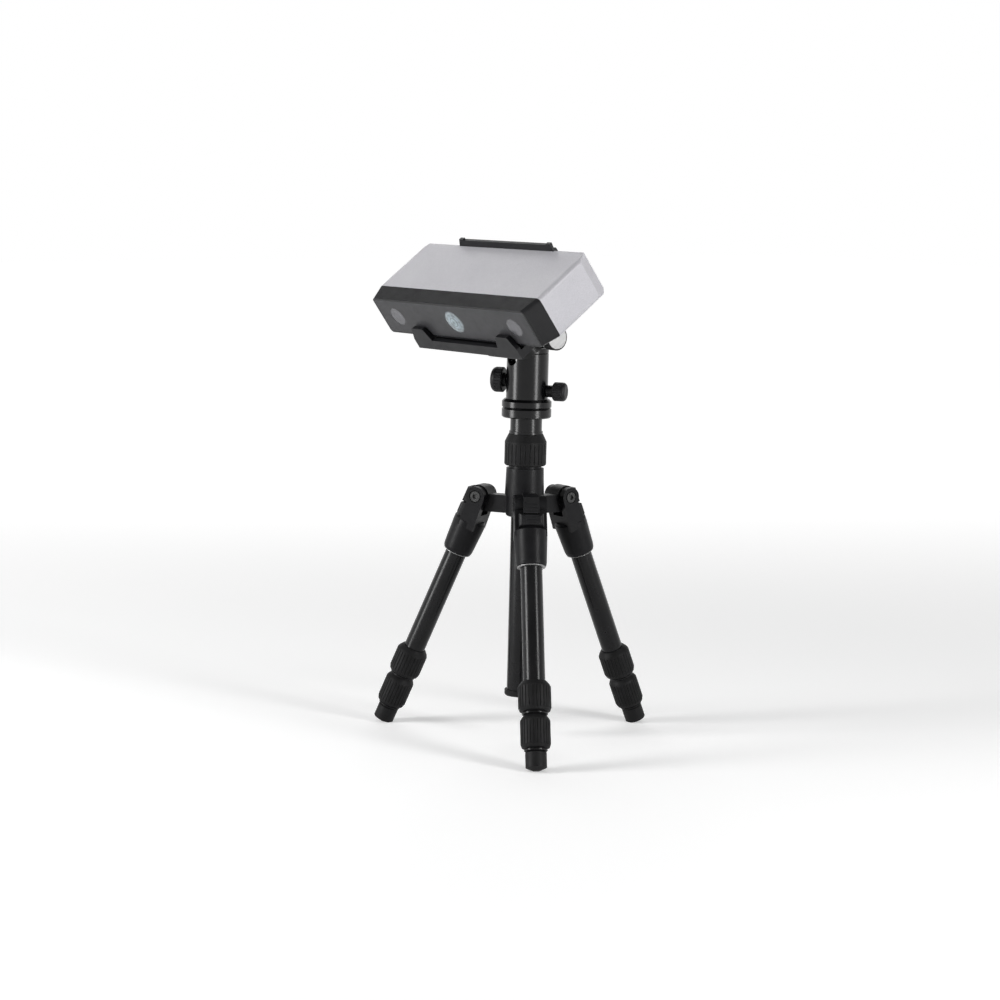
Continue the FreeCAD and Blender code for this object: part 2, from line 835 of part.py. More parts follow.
def optical_bench():
    """The stiff bar that holds both cameras and the projector in line."""
    piece = Piece("optical_bench")
    plate = box("-bench_width / 2", "bench_front", "bench_width / 2", BENCH_BACK)
    piece.pad("XY_Plane", [plate], "shell_wall + slip_fit", BENCH_TOP)
    top = f"{BENCH_TOP} + bracket_height"
    brackets = [
        box(f"{middle} - bracket_width / 2", BENCH_TOP, f"{middle} + bracket_width / 2", top)
        for middle in ("-lens_spacing", "0", "lens_spacing")
    ]
    piece.pad("XZ_Plane", brackets, "bench_front", BRACKET_BACK)
    holes = [
        circle("-lens_spacing", LENS_LEVEL, "barrel_radius + slip_fit"),
        circle("0", LENS_LEVEL, "projector_barrel_radius + slip_fit"),
        circle("lens_spacing", LENS_LEVEL, "barrel_radius + slip_fit"),
    ]
    piece.cut("XZ_Plane", holes, "bench_front - overrun", f"{BRACKET_BACK} + overrun")
    uprights = [
        box(f"{middle} - upright_width / 2", BENCH_TOP, f"{middle} + upright_width / 2", top)
        for middle in ("-post_across", "post_across")
    ]
    piece.pad("XZ_Plane", uprights, f"{BENCH_BACK} - upright_thick", BENCH_BACK)
    posts = [circle(across, up, "post_radius") for across, up in SCREW_PLACES]
    piece.pad("XZ_Plane", posts, BENCH_BACK, f"{COVER_FRONT} - slip_fit")
    threads = [circle(across, up, "screw_radius + running_fit") for across, up in SCREW_PLACES]
    piece.cut("XZ_Plane", threads, "head_depth - screw_reach - slip_fit", f"{COVER_FRONT} + overrun")
    piece.place(HEAD)


def mainboard():
    piece = Piece("mainboard")
    half = "mainboard_width / 2"
    card = box(f"-{half}", "mainboard_low", half, "mainboard_low + mainboard_height")
    piece.pad("XZ_Plane", [card], BOARD_FRONT, BOARD_BACK)
    holes = [circle(across, up, "post_radius + slip_fit") for across, up in SCREW_PLACES]
    piece.cut("XZ_Plane", holes, f"{BOARD_FRONT} - overrun", f"{BOARD_BACK} + overrun")
    chips = [
        box(
            f"{share} * chip_size - chip_size / 2",
            f"{COVER_MIDDLE} - chip_size / 2",
            f"{share} * chip_size + chip_size / 2",
            f"{COVER_MIDDLE} + chip_size / 2",
        )
        for share in CHIP_SHARES
    ]
    piece.pad("XZ_Plane", chips, BOARD_BACK, f"{BOARD_BACK} + chip_thick")
    key = box(
        "button_x - button_radius / 2",
        f"{COVER_MIDDLE} - button_radius / 2",
        "button_x + button_radius / 2",
        f"{COVER_MIDDLE} + button_radius / 2",
    )
    piece.pad("XZ_Plane", [key], BOARD_BACK, f"{BOARD_BACK} + sensor_depth")
    piece.place(HEAD)


def power_button():
    """Its frame's +Z runs out of the back of the head, from the cover's inner face."""
    piece = Piece("power_button")
    foot = f"({BOARD_BACK} + sensor_depth + button_travel + slip_fit - {COVER_FRONT})"
    flange = "(button_radius + button_proud)"
    piece.turn(
        [
            ("0", foot),
            ("button_stem_radius", foot),
            ("button_stem_radius", "-button_proud - slip_fit"),
            (flange, "-button_proud - slip_fit"),
            (flange, "-slip_fit"),
            ("button_radius", "-slip_fit"),
            ("button_radius", "cover_thick + button_proud / 2"),
            ("button_radius - button_proud / 2", "cover_thick + button_proud"),
            ("0", "cover_thick + button_proud"),
        ]
    )
    middle = Vector(size("button_x"), piece.number(COVER_FRONT), piece.number(COVER_MIDDLE))
    piece.place(HEAD * Placement(middle, BACKWARD))


def dc_jack():
    piece = Piece("dc_jack")
    back = f"({COVER_FRONT} - slip_fit)"
    block = box(
        "jack_x - jack_side / 2",
        f"{COVER_MIDDLE} - jack_side / 2",
        "jack_x + jack_side / 2",
        f"{COVER_MIDDLE} + jack_side / 2",
    )
    piece.pad("XZ_Plane", [block], f"{BOARD_BACK} + slip_fit", back)
    mouth = circle("jack_x", COVER_MIDDLE, "jack_bore_radius")
    piece.cut("XZ_Plane", [mouth], f"{back} - jack_depth", f"{back} + overrun")
    pin = circle("jack_x", COVER_MIDDLE, "jack_pin_radius")
    piece.pad("XZ_Plane", [pin], f"{back} - jack_depth - slip_fit", f"{back} - slip_fit")
    piece.place(HEAD)


def usb_port():
    piece = Piece("usb_port")
    back = f"({COVER_FRONT} - slip_fit)"

    def around_middle(width, height):
        return box(
            f"usb_x - {width} / 2",
            f"{COVER_MIDDLE} - {height} / 2",
            f"usb_x + {width} / 2",
            f"{COVER_MIDDLE} + {height} / 2",
        )

    piece.pad("XZ_Plane", [around_middle("usb_width", "usb_height")], f"{BOARD_BACK} + slip_fit", back)
    mouth = around_middle("usb_mouth_width", "usb_mouth_height")
    piece.cut("XZ_Plane", [mouth], f"{back} - jack_depth", f"{back} + overrun")
    tongue = around_middle("usb_tongue_width", "usb_tongue_height")
    piece.pad("XZ_Plane", [tongue], f"{back} - jack_depth - slip_fit", f"{back} - slip_fit")
    piece.place(HEAD)


# The cradle, in a frame beside the head's: a tray with two front hooks, a tower behind
# the head and a sliding jaw that comes down on the head's back edge.

LIP_BACK = "(-bezel_length - pad_thick - slip_fit)"
LIP_FRONT = f"({LIP_BACK} - lip_thick)"
TRAY_TOP = "(tray_thick - tray_drop)"
HOOK_OUTER = "(cradle_half_width - hook_slope_run)"
HOOK_INNER = f"({HOOK_OUTER} - hook_top_width)"
TOWER_FRONT = "(head_depth + seat_gap)"
TOWER_BACK = f"({TOWER_FRONT} + tower_thick)"
SLOT_FRONT = f"({TOWER_BACK} - slot_depth)"
MOUTH_FRONT = f"({TOWER_BACK} - slot_mouth_depth)"
FOOT_LOW = "(clamp_under + clamp_floor + plate_gap + plate_height + slip_fit - head_rise)"


def cradle_base():
    piece = Piece("cradle_base")
    half = "cradle_half_width"
    tray = box(f"-{half}", LIP_FRONT, half, TOWER_BACK)
    piece.pad("XY_Plane", [tray], "-tray_drop", TRAY_TOP)
    piece.bevel_edges("tray_bevel", lambda at, along: abs(along.z) > PARALLEL and at.y > 0)
    lip = [
        (f"-{half}", "-tray_drop"),
        (half, "-tray_drop"),
        (half, "lip_middle_top"),
        (HOOK_OUTER, "hook_top"),
        (HOOK_INNER, "hook_top"),
        ("lip_middle_half", "lip_middle_top"),
        ("-lip_middle_half", "lip_middle_top"),
        (f"-{HOOK_INNER}", "hook_top"),
        (f"-{HOOK_OUTER}", "hook_top"),
        (f"-{half}", "lip_middle_top"),
    ]
    piece.pad("XZ_Plane", [lip], LIP_FRONT, LIP_BACK)
    top = size("hook_top")
    piece.round_edges("hook_round", lambda at, along: abs(along.y) > PARALLEL and abs(at.z - top) < TINY)
    tower = [
        ("-tower_half_width", TOWER_FRONT),
        ("tower_half_width", TOWER_FRONT),
        ("tower_half_width", TOWER_BACK),
        ("slot_mouth_half_width", TOWER_BACK),
        ("slot_mouth_half_width", MOUTH_FRONT),
        ("slot_half_width", MOUTH_FRONT),
        ("slot_half_width", SLOT_FRONT),
        ("-slot_half_width", SLOT_FRONT),
        ("-slot_half_width", MOUTH_FRONT),
        ("-slot_mouth_half_width", MOUTH_FRONT),
        ("-slot_mouth_half_width", TOWER_BACK),
        ("-tower_half_width", TOWER_BACK),
    ]
    piece.pad("XY_Plane", [tower], "-tray_drop", "tower_height")
    middle = "(plate_centre - head_across - cradle_across)"
    foot = box(
        f"{middle} - cradle_foot_width / 2",
        "-head_back - cradle_foot_depth / 2",
        f"{middle} + cradle_foot_width / 2",
        "-head_back + cradle_foot_depth / 2",
    )
    piece.pad("XY_Plane", [foot], FOOT_LOW, "-tray_drop")
    thread = circle(middle, "-head_back", "cradle_screw_radius + running_fit")
    piece.cut("XY_Plane", [thread], f"{FOOT_LOW} - overrun", f"{FOOT_LOW} + cradle_screw_bite + slip_fit")
    piece.place(CRADLE)


def cradle_jaw():
    piece = Piece("cradle_jaw")
    slide = [
        ("slip_fit - slot_half_width", f"{SLOT_FRONT} + slip_fit"),
        ("slot_half_width - slip_fit", f"{SLOT_FRONT} + slip_fit"),
        ("slot_half_width - slip_fit", f"{MOUTH_FRONT} - slip_fit"),
        ("slot_mouth_half_width - slip_fit", f"{MOUTH_FRONT} - slip_fit"),
        ("slot_mouth_half_width - slip_fit", TOWER_BACK),
        ("slip_fit - slot_mouth_half_width", TOWER_BACK),
        ("slip_fit - slot_mouth_half_width", f"{MOUTH_FRONT} - slip_fit"),
        ("slip_fit - slot_half_width", f"{MOUTH_FRONT} - slip_fit"),
    ]
    piece.pad("XY_Plane", [slide], "jaw_plate_low", "jaw_bar_low + overrun")
    back = "(head_depth - jaw_hook_reach + jaw_lean)"
    hook = [
        (f"{TOWER_FRONT} + slip_fit", "jaw_bar_low"),
        (TOWER_BACK, "jaw_bar_low"),
        (TOWER_BACK, "jaw_bar_low + jaw_bar_thick"),
        ("head_depth - jaw_hook_reach + jaw_lip_thick", "head_height + jaw_lip_thick"),
        (f"{back} + jaw_lip_thick", "head_height + jaw_rise"),
        (back, "head_height + jaw_rise"),
        ("head_depth - jaw_hook_reach", "head_height + seat_gap"),
        (f"{TOWER_FRONT} + slip_fit", "head_height + seat_gap"),
    ]
    piece.pad("YZ_Plane", [hook], "-jaw_half_width", "jaw_half_width")
    slant = [
        ("jaw_half_width", "head_height"),
        ("jaw_half_width + overrun", "head_height"),
        ("jaw_half_width + overrun", "head_height + jaw_rise + overrun"),
        ("jaw_half_width - jaw_end_slant", "head_height + jaw_rise + overrun"),
    ]
    start = "head_depth - jaw_hook_reach - overrun"
    end = piece.cut("XZ_Plane", [slant], start, f"{TOWER_BACK} + overrun")
    piece.mirror("YZ_Plane", [end])
    lip_back = f"{back} + jaw_lip_thick"
    wing = box("jaw_bar_half_width", lip_back, "jaw_half_width + overrun", f"{TOWER_BACK} + overrun")
    relief = piece.cut("XY_Plane", [wing], "jaw_bar_low - overrun", "head_height + jaw_rise + overrun")
    piece.mirror("YZ_Plane", [relief])
    ear = "(jaw_half_width - jaw_end_slant - jaw_ear_width)"
    top = "(head_height + jaw_rise)"
    dip = box(f"-{ear}", f"{top} - jaw_dip", ear, f"{top} + overrun")
    piece.cut("XZ_Plane", [dip], start, f"{TOWER_BACK} + overrun")
    piece.place(CRADLE)


def cradle_pads():
    """Rubber strips between the head and the tray, and between the head and the hooks."""
    piece = Piece("cradle_pads")
    inner = f"{HOOK_INNER} + pad_inset"
    outer = f"{HOOK_OUTER} - pad_inset"
    strip = box(inner, "bezel_tongue", outer, "bezel_tongue + pad_run")
    floor = piece.pad("XY_Plane", [strip], f"{TRAY_TOP} + running_fit", "-running_fit")
    patch = box(inner, "hook_pad_low", outer, "hook_top - pad_inset")
    front = piece.pad("XZ_Plane", [patch], f"{LIP_BACK} + running_fit", "-bezel_length - running_fit")
    piece.mirror("YZ_Plane", [floor, front])
    piece.place(CRADLE)


# The quick release under the cradle, in the frame of the ball: its centre is the origin
# and Z runs up the ball's stem.

CHANNEL = "(clamp_under + clamp_floor)"
PLATE_LOW = f"({CHANNEL} + plate_gap)"
PLATE_TOP = f"({PLATE_LOW} + plate_height)"
STEP = f"({PLATE_LOW} + plate_foot_height)"
JAW_TOP = "(clamp_under + clamp_jaw_height)"
SCREW_LEVEL = "(clamp_under + clamp_screw_rise)"


def cradle_screw():
    piece = Piece("cradle_screw")
    low = f"{PLATE_LOW} + slip_fit"
    top = f"{PLATE_LOW} + slip_fit + cradle_screw_head_thick"
    piece.turn(
        [
            ("0", low),
            ("cradle_screw_head_radius", low),
            ("cradle_screw_head_radius", top),
            ("cradle_screw_radius", top),
            ("cradle_screw_radius", f"{PLATE_TOP} + slip_fit + cradle_screw_bite"),
            ("0", f"{PLATE_TOP} + slip_fit + cradle_screw_bite"),
        ]
    )
    reach = "(cradle_screw_head_radius + overrun)"
    slot = box(f"-{reach}", "-screw_slot_width / 2", reach, "screw_slot_width / 2")
    piece.cut("XY_Plane", [slot], f"{low} - overrun", f"{low} + cradle_screw_head_thick / 2")
    piece.place(TILT * Placement(Vector(size("plate_centre"), 0, 0), Rotation()))


def quick_release_plate():
    piece = Piece("quick_release_plate")
    wide = "plate_half_width"
    narrow = "(plate_half_width - dovetail_bevel)"
    shoulder = f"({JAW_TOP} + plate_gap)"
    right = [
        (f"plate_centre + {wide}", PLATE_LOW),
        (f"plate_centre + {wide}", STEP),
        (f"plate_centre + {narrow}", f"{STEP} + dovetail_bevel"),
        (f"plate_centre + {narrow}", shoulder),
        (f"plate_centre + {wide}", shoulder),
        (f"plate_centre + {wide}", PLATE_TOP),
    ]
    left = [
        (f"plate_centre - {wide}", PLATE_TOP),
        (f"plate_centre - {wide}", shoulder),
        (f"plate_centre - {narrow}", shoulder),
        (f"plate_centre - {narrow}", f"{STEP} + dovetail_bevel"),
        (f"plate_centre - {wide}", STEP),
        (f"plate_centre - {wide}", PLATE_LOW),
    ]
    piece.pad("XZ_Plane", [right + left], "-clamp_depth / 2", "clamp_depth / 2")
    recess = circle("plate_centre", "0", "cradle_screw_head_radius + slip_fit")
    recess_top = f"{PLATE_LOW} + cradle_screw_head_thick + 2 * slip_fit"
    piece.cut("XY_Plane", [recess], f"{PLATE_LOW} - overrun", recess_top)
    hole = circle("plate_centre", "0", "cradle_screw_radius + running_fit")
    piece.cut("XY_Plane", [hole], PLATE_LOW, f"{PLATE_TOP} + overrun")
    piece.place(TILT)


def clamp_body():
    piece = Piece("clamp_body")
    edge = "plate_centre - plate_half_width - slip_fit"
    profile = [
        ("-clamp_left", "clamp_under"),
        ("clamp_right", "clamp_under"),
        ("clamp_right", CHANNEL),
        (edge, CHANNEL),
        (edge, STEP),
        (f"{edge} + dovetail_bevel", f"{STEP} + dovetail_bevel"),
        (f"{edge} + dovetail_bevel", JAW_TOP),
        ("-clamp_left", JAW_TOP),
    ]
    piece.pad("XZ_Plane", [profile], "-clamp_depth / 2", "clamp_depth / 2")
    far = size("clamp_left") - TINY
    piece.round_edges("clamp_round", lambda at, along: abs(along.z) > PARALLEL and at.x < -far)
    bore = circle("clamp_screw_back", SCREW_LEVEL, "clamp_screw_radius + slip_fit")
    start = f"{SCREW_START} - slip_fit - overrun"
    piece.cut("YZ_Plane", [bore], start, "clamp_right + overrun")
    stud = circle("0", "0", "stud_radius + running_fit")
    piece.cut("XY_Plane", [stud], "clamp_under - overrun", "clamp_under + stud_length + slip_fit")
    piece.place(TILT)


HUB_START = "(clamp_right + seat_gap + clamp_jaw_thick + slip_fit)"
SCREW_START = f"({HUB_START} - clamp_screw_length)"
KNOB_START = f"({HUB_START} + clamp_hub_length)"
KNOB_END = f"({KNOB_START} + clamp_knob_length)"


def clamp_jaw():
    piece = Piece("clamp_jaw")
    edge = "plate_centre + plate_half_width + slip_fit"
    inside = "clamp_right + seat_gap"
    profile = [
        (inside, "clamp_under"),
        (f"{inside} + clamp_jaw_thick", "clamp_under"),
        (f"{inside} + clamp_jaw_thick", JAW_TOP),
        (f"{edge} - dovetail_bevel", JAW_TOP),
        (f"{edge} - dovetail_bevel", f"{STEP} + dovetail_bevel"),
        (edge, STEP),
        (edge, f"{CHANNEL} + slip_fit"),
        (inside, f"{CHANNEL} + slip_fit"),
    ]
    piece.pad("XZ_Plane", [profile], "-clamp_depth / 2", "clamp_depth / 2")
    far = piece.number(f"{inside} + clamp_jaw_thick") - TINY
    piece.round_edges("clamp_round", lambda at, along: abs(along.z) > PARALLEL and at.x > far)
    bore = circle("clamp_screw_back", SCREW_LEVEL, "clamp_screw_radius + running_fit")
    piece.cut("YZ_Plane", [bore], f"{inside} - overrun", f"{inside} + clamp_jaw_thick + overrun")
    piece.place(TILT)


def clamp_knob_frame():
    """The clamp screw's frame: +Z runs along the screw, out of the knob's face."""
    level = size("clamp_under") + size("clamp_screw_rise")
    return TILT * Placement(Vector(0, size("clamp_screw_back"), level), SIDEWAYS)


def clamp_knob():
    piece = Piece("clamp_knob")
    bevel = "lock_chamfer"
    piece.turn(
        [
            ("0", SCREW_START),
            ("clamp_screw_radius", SCREW_START),
            ("clamp_screw_radius", HUB_START),
            ("clamp_hub_radius", HUB_START),
            ("clamp_hub_radius", KNOB_START),
            (f"clamp_knob_radius - {bevel}", KNOB_START),
            ("clamp_knob_radius", f"{KNOB_START} + {bevel}"),
            ("clamp_knob_radius", f"{KNOB_END} - {bevel} / 2"),
            (f"clamp_knob_radius - {bevel} / 2", KNOB_END),
            ("knob_cap_radius + slip_fit", KNOB_END),
            ("knob_cap_radius + slip_fit", f"{KNOB_END} - knob_cap_thick"),
            ("0", f"{KNOB_END} - knob_cap_thick"),
        ]
    )
    groove = circle("clamp_knob_radius", "0", "flute_radius")
    flute = piece.cut("XY_Plane", [groove], f"{KNOB_START} - overrun", f"{KNOB_END} - {bevel} * 2")
    piece.around(COUNTS["knob_flutes"], [flute])
    piece.place(clamp_knob_frame())


def clamp_knob_cap():
    piece = Piece("clamp_knob_cap")
    disc = circle("0", "0", "knob_cap_radius")
    piece.pad("XY_Plane", [disc], f"{KNOB_END} - knob_cap_thick + running_fit", f"{KNOB_END} + seat_gap")
    top = piece.number(f"{KNOB_END} + seat_gap")
    piece.bevel_edges("slip_fit", lambda at, along: abs(at.z - top) < TINY)
    piece.place(clamp_knob_frame())


# The ball head and the centre column, in the stand's frame: the column's axis is Z and
# the floor is zero.

HOUSING_LOW = "(pan_base_low + pan_base_thick + seat_gap)"


def ball_stem():
    """The ball, its stem, the disc that the clamp sits on and the stud that holds it."""
    ball = doc.addObject("Part::Sphere", "ball")
    ball.setExpression("Radius", named("ball_radius"))
    disc_top = "(clamp_under - slip_fit)"
    disc_low = f"({disc_top} - stem_disc_thick)"
    levels = [
        ("stem", "stem_radius", "0", disc_low),
        ("stem_disc", "stem_disc_radius", disc_low, disc_top),
        ("stud", "stud_radius", disc_top, f"{disc_top} + stud_length"),
    ]
    parts = [ball]
    for name, radius, low, high in levels:
        part = doc.addObject("Part::Cylinder", name)
        part.setExpression("Radius", named(radius))
        part.setExpression("Height", named(f"({high}) - ({low})"))
        part.setExpression("Placement.Base.z", named(low))
        parts.append(part)
    whole = doc.addObject("Part::MultiFuse", "ball_stem")
    whole.Label = "ball_stem"
    whole.Shapes = parts
    doc.recompute()
    whole.Placement = TILT
    pieces.append(whole)


def ball_housing():
    piece = Piece("ball_housing")
    cavity = "(ball_radius + slip_fit)"
    piece.turn(
        [
            ("spigot_radius + slip_fit", HOUSING_LOW),
            ("housing_radius", HOUSING_LOW),
            ("housing_radius", "housing_top - rim_round"),
            ("housing_radius - rim_round", "housing_top"),
            (f"sqrt({cavity}^2 - (housing_top - ball_height)^2)", "housing_top", "across"),
            circle("0", "ball_height", cavity),
            (cavity, "ball_height", "across"),
            ("housing_bore_radius", "ball_height"),
            ("housing_bore_radius", "housing_floor_high"),
            ("0", "housing_floor_high"),
            ("0", "housing_floor_low"),
            ("spigot_radius + slip_fit", "housing_floor_low"),
        ]
    )
    half = "notch_width / 2"
    slot = box(f"-{half}", f"notch_low + {half}", half, "housing_top + overrun")
    piece.cut("XZ_Plane", [slot], "-housing_radius - overrun", "0")
    root = circle("0", f"notch_low + {half}", half)
    piece.cut("XZ_Plane", [root], "-housing_radius - overrun", "-ball_radius / 2")
    screws = (
        ("main_knob_height", "main_knob_azimuth", "main_screw_radius"),
        ("pan_knob_height", "pan_knob_azimuth", "pan_screw_radius"),
    )
    for height, azimuth, radius in screws:
        piece.drill(height, azimuth, f"{radius} + running_fit", "ball_radius / 2", "housing_radius + overrun")
    piece.place(STAND)


def ball_seat():
    """The cup under the ball, which the main screw wedges up against it."""
    piece = Piece("ball_seat")
    cup = "(ball_radius + slip_fit)"
    piece.turn(
        [
            ("seat_bore_radius", "housing_floor_high + slip_fit"),
            ("housing_bore_radius - slip_fit", "housing_floor_high + slip_fit"),
            ("housing_bore_radius - slip_fit", "seat_top"),
            (f"sqrt({cup}^2 - (ball_height - seat_top)^2)", "seat_top", "across"),
            circle("0", "ball_height", cup),
            ("seat_bore_radius", f"ball_height - sqrt({cup}^2 - seat_bore_radius^2)", "up"),
        ]
    )
    piece.place(STAND)


def side_knob(label, tip, names, frame):
    """A round-ended knob moulded on its clamping screw, along +Z from the screw's tip."""
    screw, neck, knob, start, end, bend = names
    piece = Piece(label)
    piece.turn(
        [
            ("0", tip),
            (screw, tip),
            (screw, "housing_radius + knob_gap"),
            (neck, "housing_radius + knob_gap"),
            (neck, start),
            (f"{knob} - lock_chamfer", start),
            (knob, f"{start} + lock_chamfer"),
            (knob, f"{end} - {bend}", "across"),
            circle(f"{knob} - {bend}", f"{end} - {bend}", bend),
            (f"{knob} - {bend}", end, "up"),
            ("0", end),
        ]
    )
    groove = circle(knob, "0", "flute_radius")
    flute = piece.cut("XY_Plane", [groove], f"{start} - overrun", f"{end} - {bend}")
    piece.around(COUNTS["knob_flutes"], [flute])
    piece.place(frame)


def knob_names(knob):
    """The names of a side knob's own sizes."""
    own = (f"{knob}_knob_{part}" for part in ("neck", "radius", "start", "end", "round"))
    return (f"{knob}_screw_radius", *own)


def main_knob():
    tip = "housing_bore_radius + running_fit"
    frame = knob_frame("main_knob_azimuth", "main_knob_height")
    side_knob("main_knob", tip, knob_names("main"), frame)


def pan_knob():
    tip = "spigot_radius + slip_fit"
    frame = knob_frame("pan_knob_azimuth", "pan_knob_height")
    side_knob("pan_knob", tip, knob_names("pan"), frame)


def pan_base():
    piece = Piece("pan_base")
    top = "pan_base_low + pan_base_thick"
    piece.turn(
        [
            ("0", "pan_base_low"),
            ("pan_base_radius - platform_chamfer", "pan_base_low"),
            ("pan_base_radius", "pan_base_low + platform_chamfer"),
            ("pan_base_radius", f"{top} - 2 * platform_chamfer"),
            ("pan_base_radius - 2 * platform_chamfer", top),
            ("spigot_radius", top),
            ("spigot_radius", f"{top} + spigot_height"),
            ("0", f"{top} + spigot_height"),
        ]
    )
    piece.place(STAND)


def column_head():
    """The platform that carries the ball head, its neck and the plug in the column."""
    piece = Piece("column_head")
    plug = "column_radius - column_wall - running_fit"
    top = "pan_base_low - slip_fit"
    piece.turn(
        [
            ("0", "flange_low - plug_length"),
            (plug, "flange_low - plug_length"),
            (plug, "flange_low"),
            ("flange_radius", "flange_low"),
            ("flange_radius", "flange_low + flange_thick"),
            ("neck_radius", "flange_low + flange_thick"),
            ("neck_radius", "platform_low"),
            ("platform_radius - platform_chamfer", "platform_low"),
            ("platform_radius", "platform_low + platform_chamfer"),
            ("platform_radius", f"{top} - platform_chamfer"),
            ("platform_radius - platform_chamfer", top),
            ("0", top),
        ]
    )
    piece.place(STAND)


def tube(label, radius, wall, low, high, frame):
    """A plain round tube along Z."""
    piece = Piece(label)
    piece.turn(box(f"{radius} - {wall}", low, radius, high))
    piece.place(frame)


def centre_column():
    tube("centre_column", "column_radius", "column_wall", "column_low", "flange_low - slip_fit", STAND)


def column_end_cap():
    piece = Piece("column_end_cap")
    plug = "column_radius - column_wall - running_fit"
    low = "column_low - slip_fit - cap_thick"
    piece.turn(
        [
            ("0", low),
            ("cap_radius - platform_chamfer", low),
            ("cap_radius", f"{low} + platform_chamfer"),
            ("cap_radius", "column_low - slip_fit"),
            (plug, "column_low - slip_fit"),
            (plug, "column_low + cap_plug_length"),
            ("0", "column_low + cap_plug_length"),
        ]
    )
    piece.place(STAND)


def column_lock():
    piece = Piece("column_lock")
    top = "column_lock_low + column_lock_height"
    piece.turn(
        [
            ("spider_neck_radius + slip_fit", "column_lock_low"),
            ("column_lock_radius - lock_chamfer", "column_lock_low"),
            ("column_lock_radius", "column_lock_low + lock_chamfer"),
            ("column_lock_radius", "column_lock_low + column_lock_straight"),
            ("column_lock_top_radius", top),
            ("column_radius + slip_fit", top),
            ("column_radius + slip_fit", f"{top} - lock_lip"),
            ("spider_neck_radius + slip_fit", f"{top} - lock_lip"),
        ]
    )
    low = "column_lock_low + 2 * lock_chamfer"
    high = "column_lock_low + column_lock_straight - lock_chamfer"
    flute = piece.cut("XY_Plane", [circle("column_lock_radius", "0", "flute_radius")], low, high)
    piece.around(COUNTS["lock_flutes"], [flute])
    piece.place(STAND)


def spider():
    """The hub that the column slides in, with three arms that end in hinge lugs."""
    piece = Piece("spider")
    bore = "column_radius + slip_fit"
    piece.turn(
        [
            (bore, "spider_low"),
            ("spider_hub_radius - lock_chamfer", "spider_low"),
            ("spider_hub_radius", "spider_low + lock_chamfer"),
            ("spider_hub_radius", "spider_waist_low"),
            ("spider_waist_radius", "spider_waist_low"),
            ("spider_top_radius", "spider_top"),
            ("spider_neck_radius", "spider_top"),
            ("spider_neck_radius", "spider_neck_top"),
            (bore, "spider_neck_top"),
        ]
    )
    half = "lug_width / 2"
    arm_start = "(spider_hub_radius + column_radius) / 2"
    beam = box(arm_start, "hinge_height - arm_below", "hinge_radius", "hinge_height + arm_above")
    arm = piece.pad("XZ_Plane", [beam], "-arm_width / 2", "arm_width / 2")
    disc = piece.pad("XZ_Plane", [circle("hinge_radius", "hinge_height", "lug_radius")], f"-{half}", half)
    edge = "(nose_top - slip_fit)"
    run = "(lug_radius + overrun)"
    lean = "leg_angle * 1 deg"
    relief = [
        (
            f"hinge_radius + {across} * cos({lean}) + {down} * sin({lean})",
            f"hinge_height + {across} * sin({lean}) - {down} * cos({lean})",
        )
        for across, down in (("0", edge), (run, edge), (run, run), ("0", run))
    ]
    step = piece.cut("XZ_Plane", [relief], f"-{half} - overrun", f"{half} + overrun")
    core_disc = circle("hinge_radius", "hinge_height", "relief_radius")
    core = piece.pad("XZ_Plane", [core_disc], f"-{half}", half)
    hole = circle("hinge_radius", "hinge_height", "bolt_radius + running_fit")
    bolt = piece.cut("XZ_Plane", [hole], f"-{half} - overrun", f"{half} + overrun")
    piece.around(COUNTS["legs"], [arm, disc, step, core, bolt])
    piece.place(STAND * Placement(Vector(), Rotation(Vector(0, 0, 1), LEG_AZIMUTHS[0])))


def hinge_bolts():
    piece = Piece("hinge_bolts")
    face = "(fork_width / 2 + slip_fit)"
    neck = "(fork_width / 2 - bolt_head_thick)"
    floor = f"({face} - hex_socket_depth)"
    head = circle("hinge_radius", "hinge_height", "bolt_head_radius")
    hexagon = [
        (
            f"hinge_radius + hex_socket_radius * cos({corner} * 60 deg)",
            f"hinge_height + hex_socket_radius * sin({corner} * 60 deg)",
        )
        for corner in range(6)
    ]
    shank = circle("hinge_radius", "hinge_height", "bolt_radius")
    features = [
        piece.pad("XZ_Plane", [shank], f"-{neck}", neck),
        piece.pad("XZ_Plane", [head], neck, face),
        piece.pad("XZ_Plane", [head], f"-{face}", f"-{neck}"),
        piece.cut("XZ_Plane", [hexagon], floor, f"{face} + overrun"),
        piece.cut("XZ_Plane", [hexagon], f"-{face} - overrun", f"-{floor}"),
    ]
    piece.around(COUNTS["legs"], features)
    piece.place(STAND * Placement(Vector(), Rotation(Vector(0, 0, 1), LEG_AZIMUTHS[0])))


# A leg, in its own frame: the hinge bolt runs along Y through the origin, and the tube
# runs down along -Z. Lengths along the leg are counted down from the bolt.

SLOT_HALF = "(lug_width / 2 + slot_clear)"
LEG_AZIMUTHS = [turn + size("stand_turn") for turn in (-30, 90, 210)]
LEG_NAMES = ("right", "rear", "left")


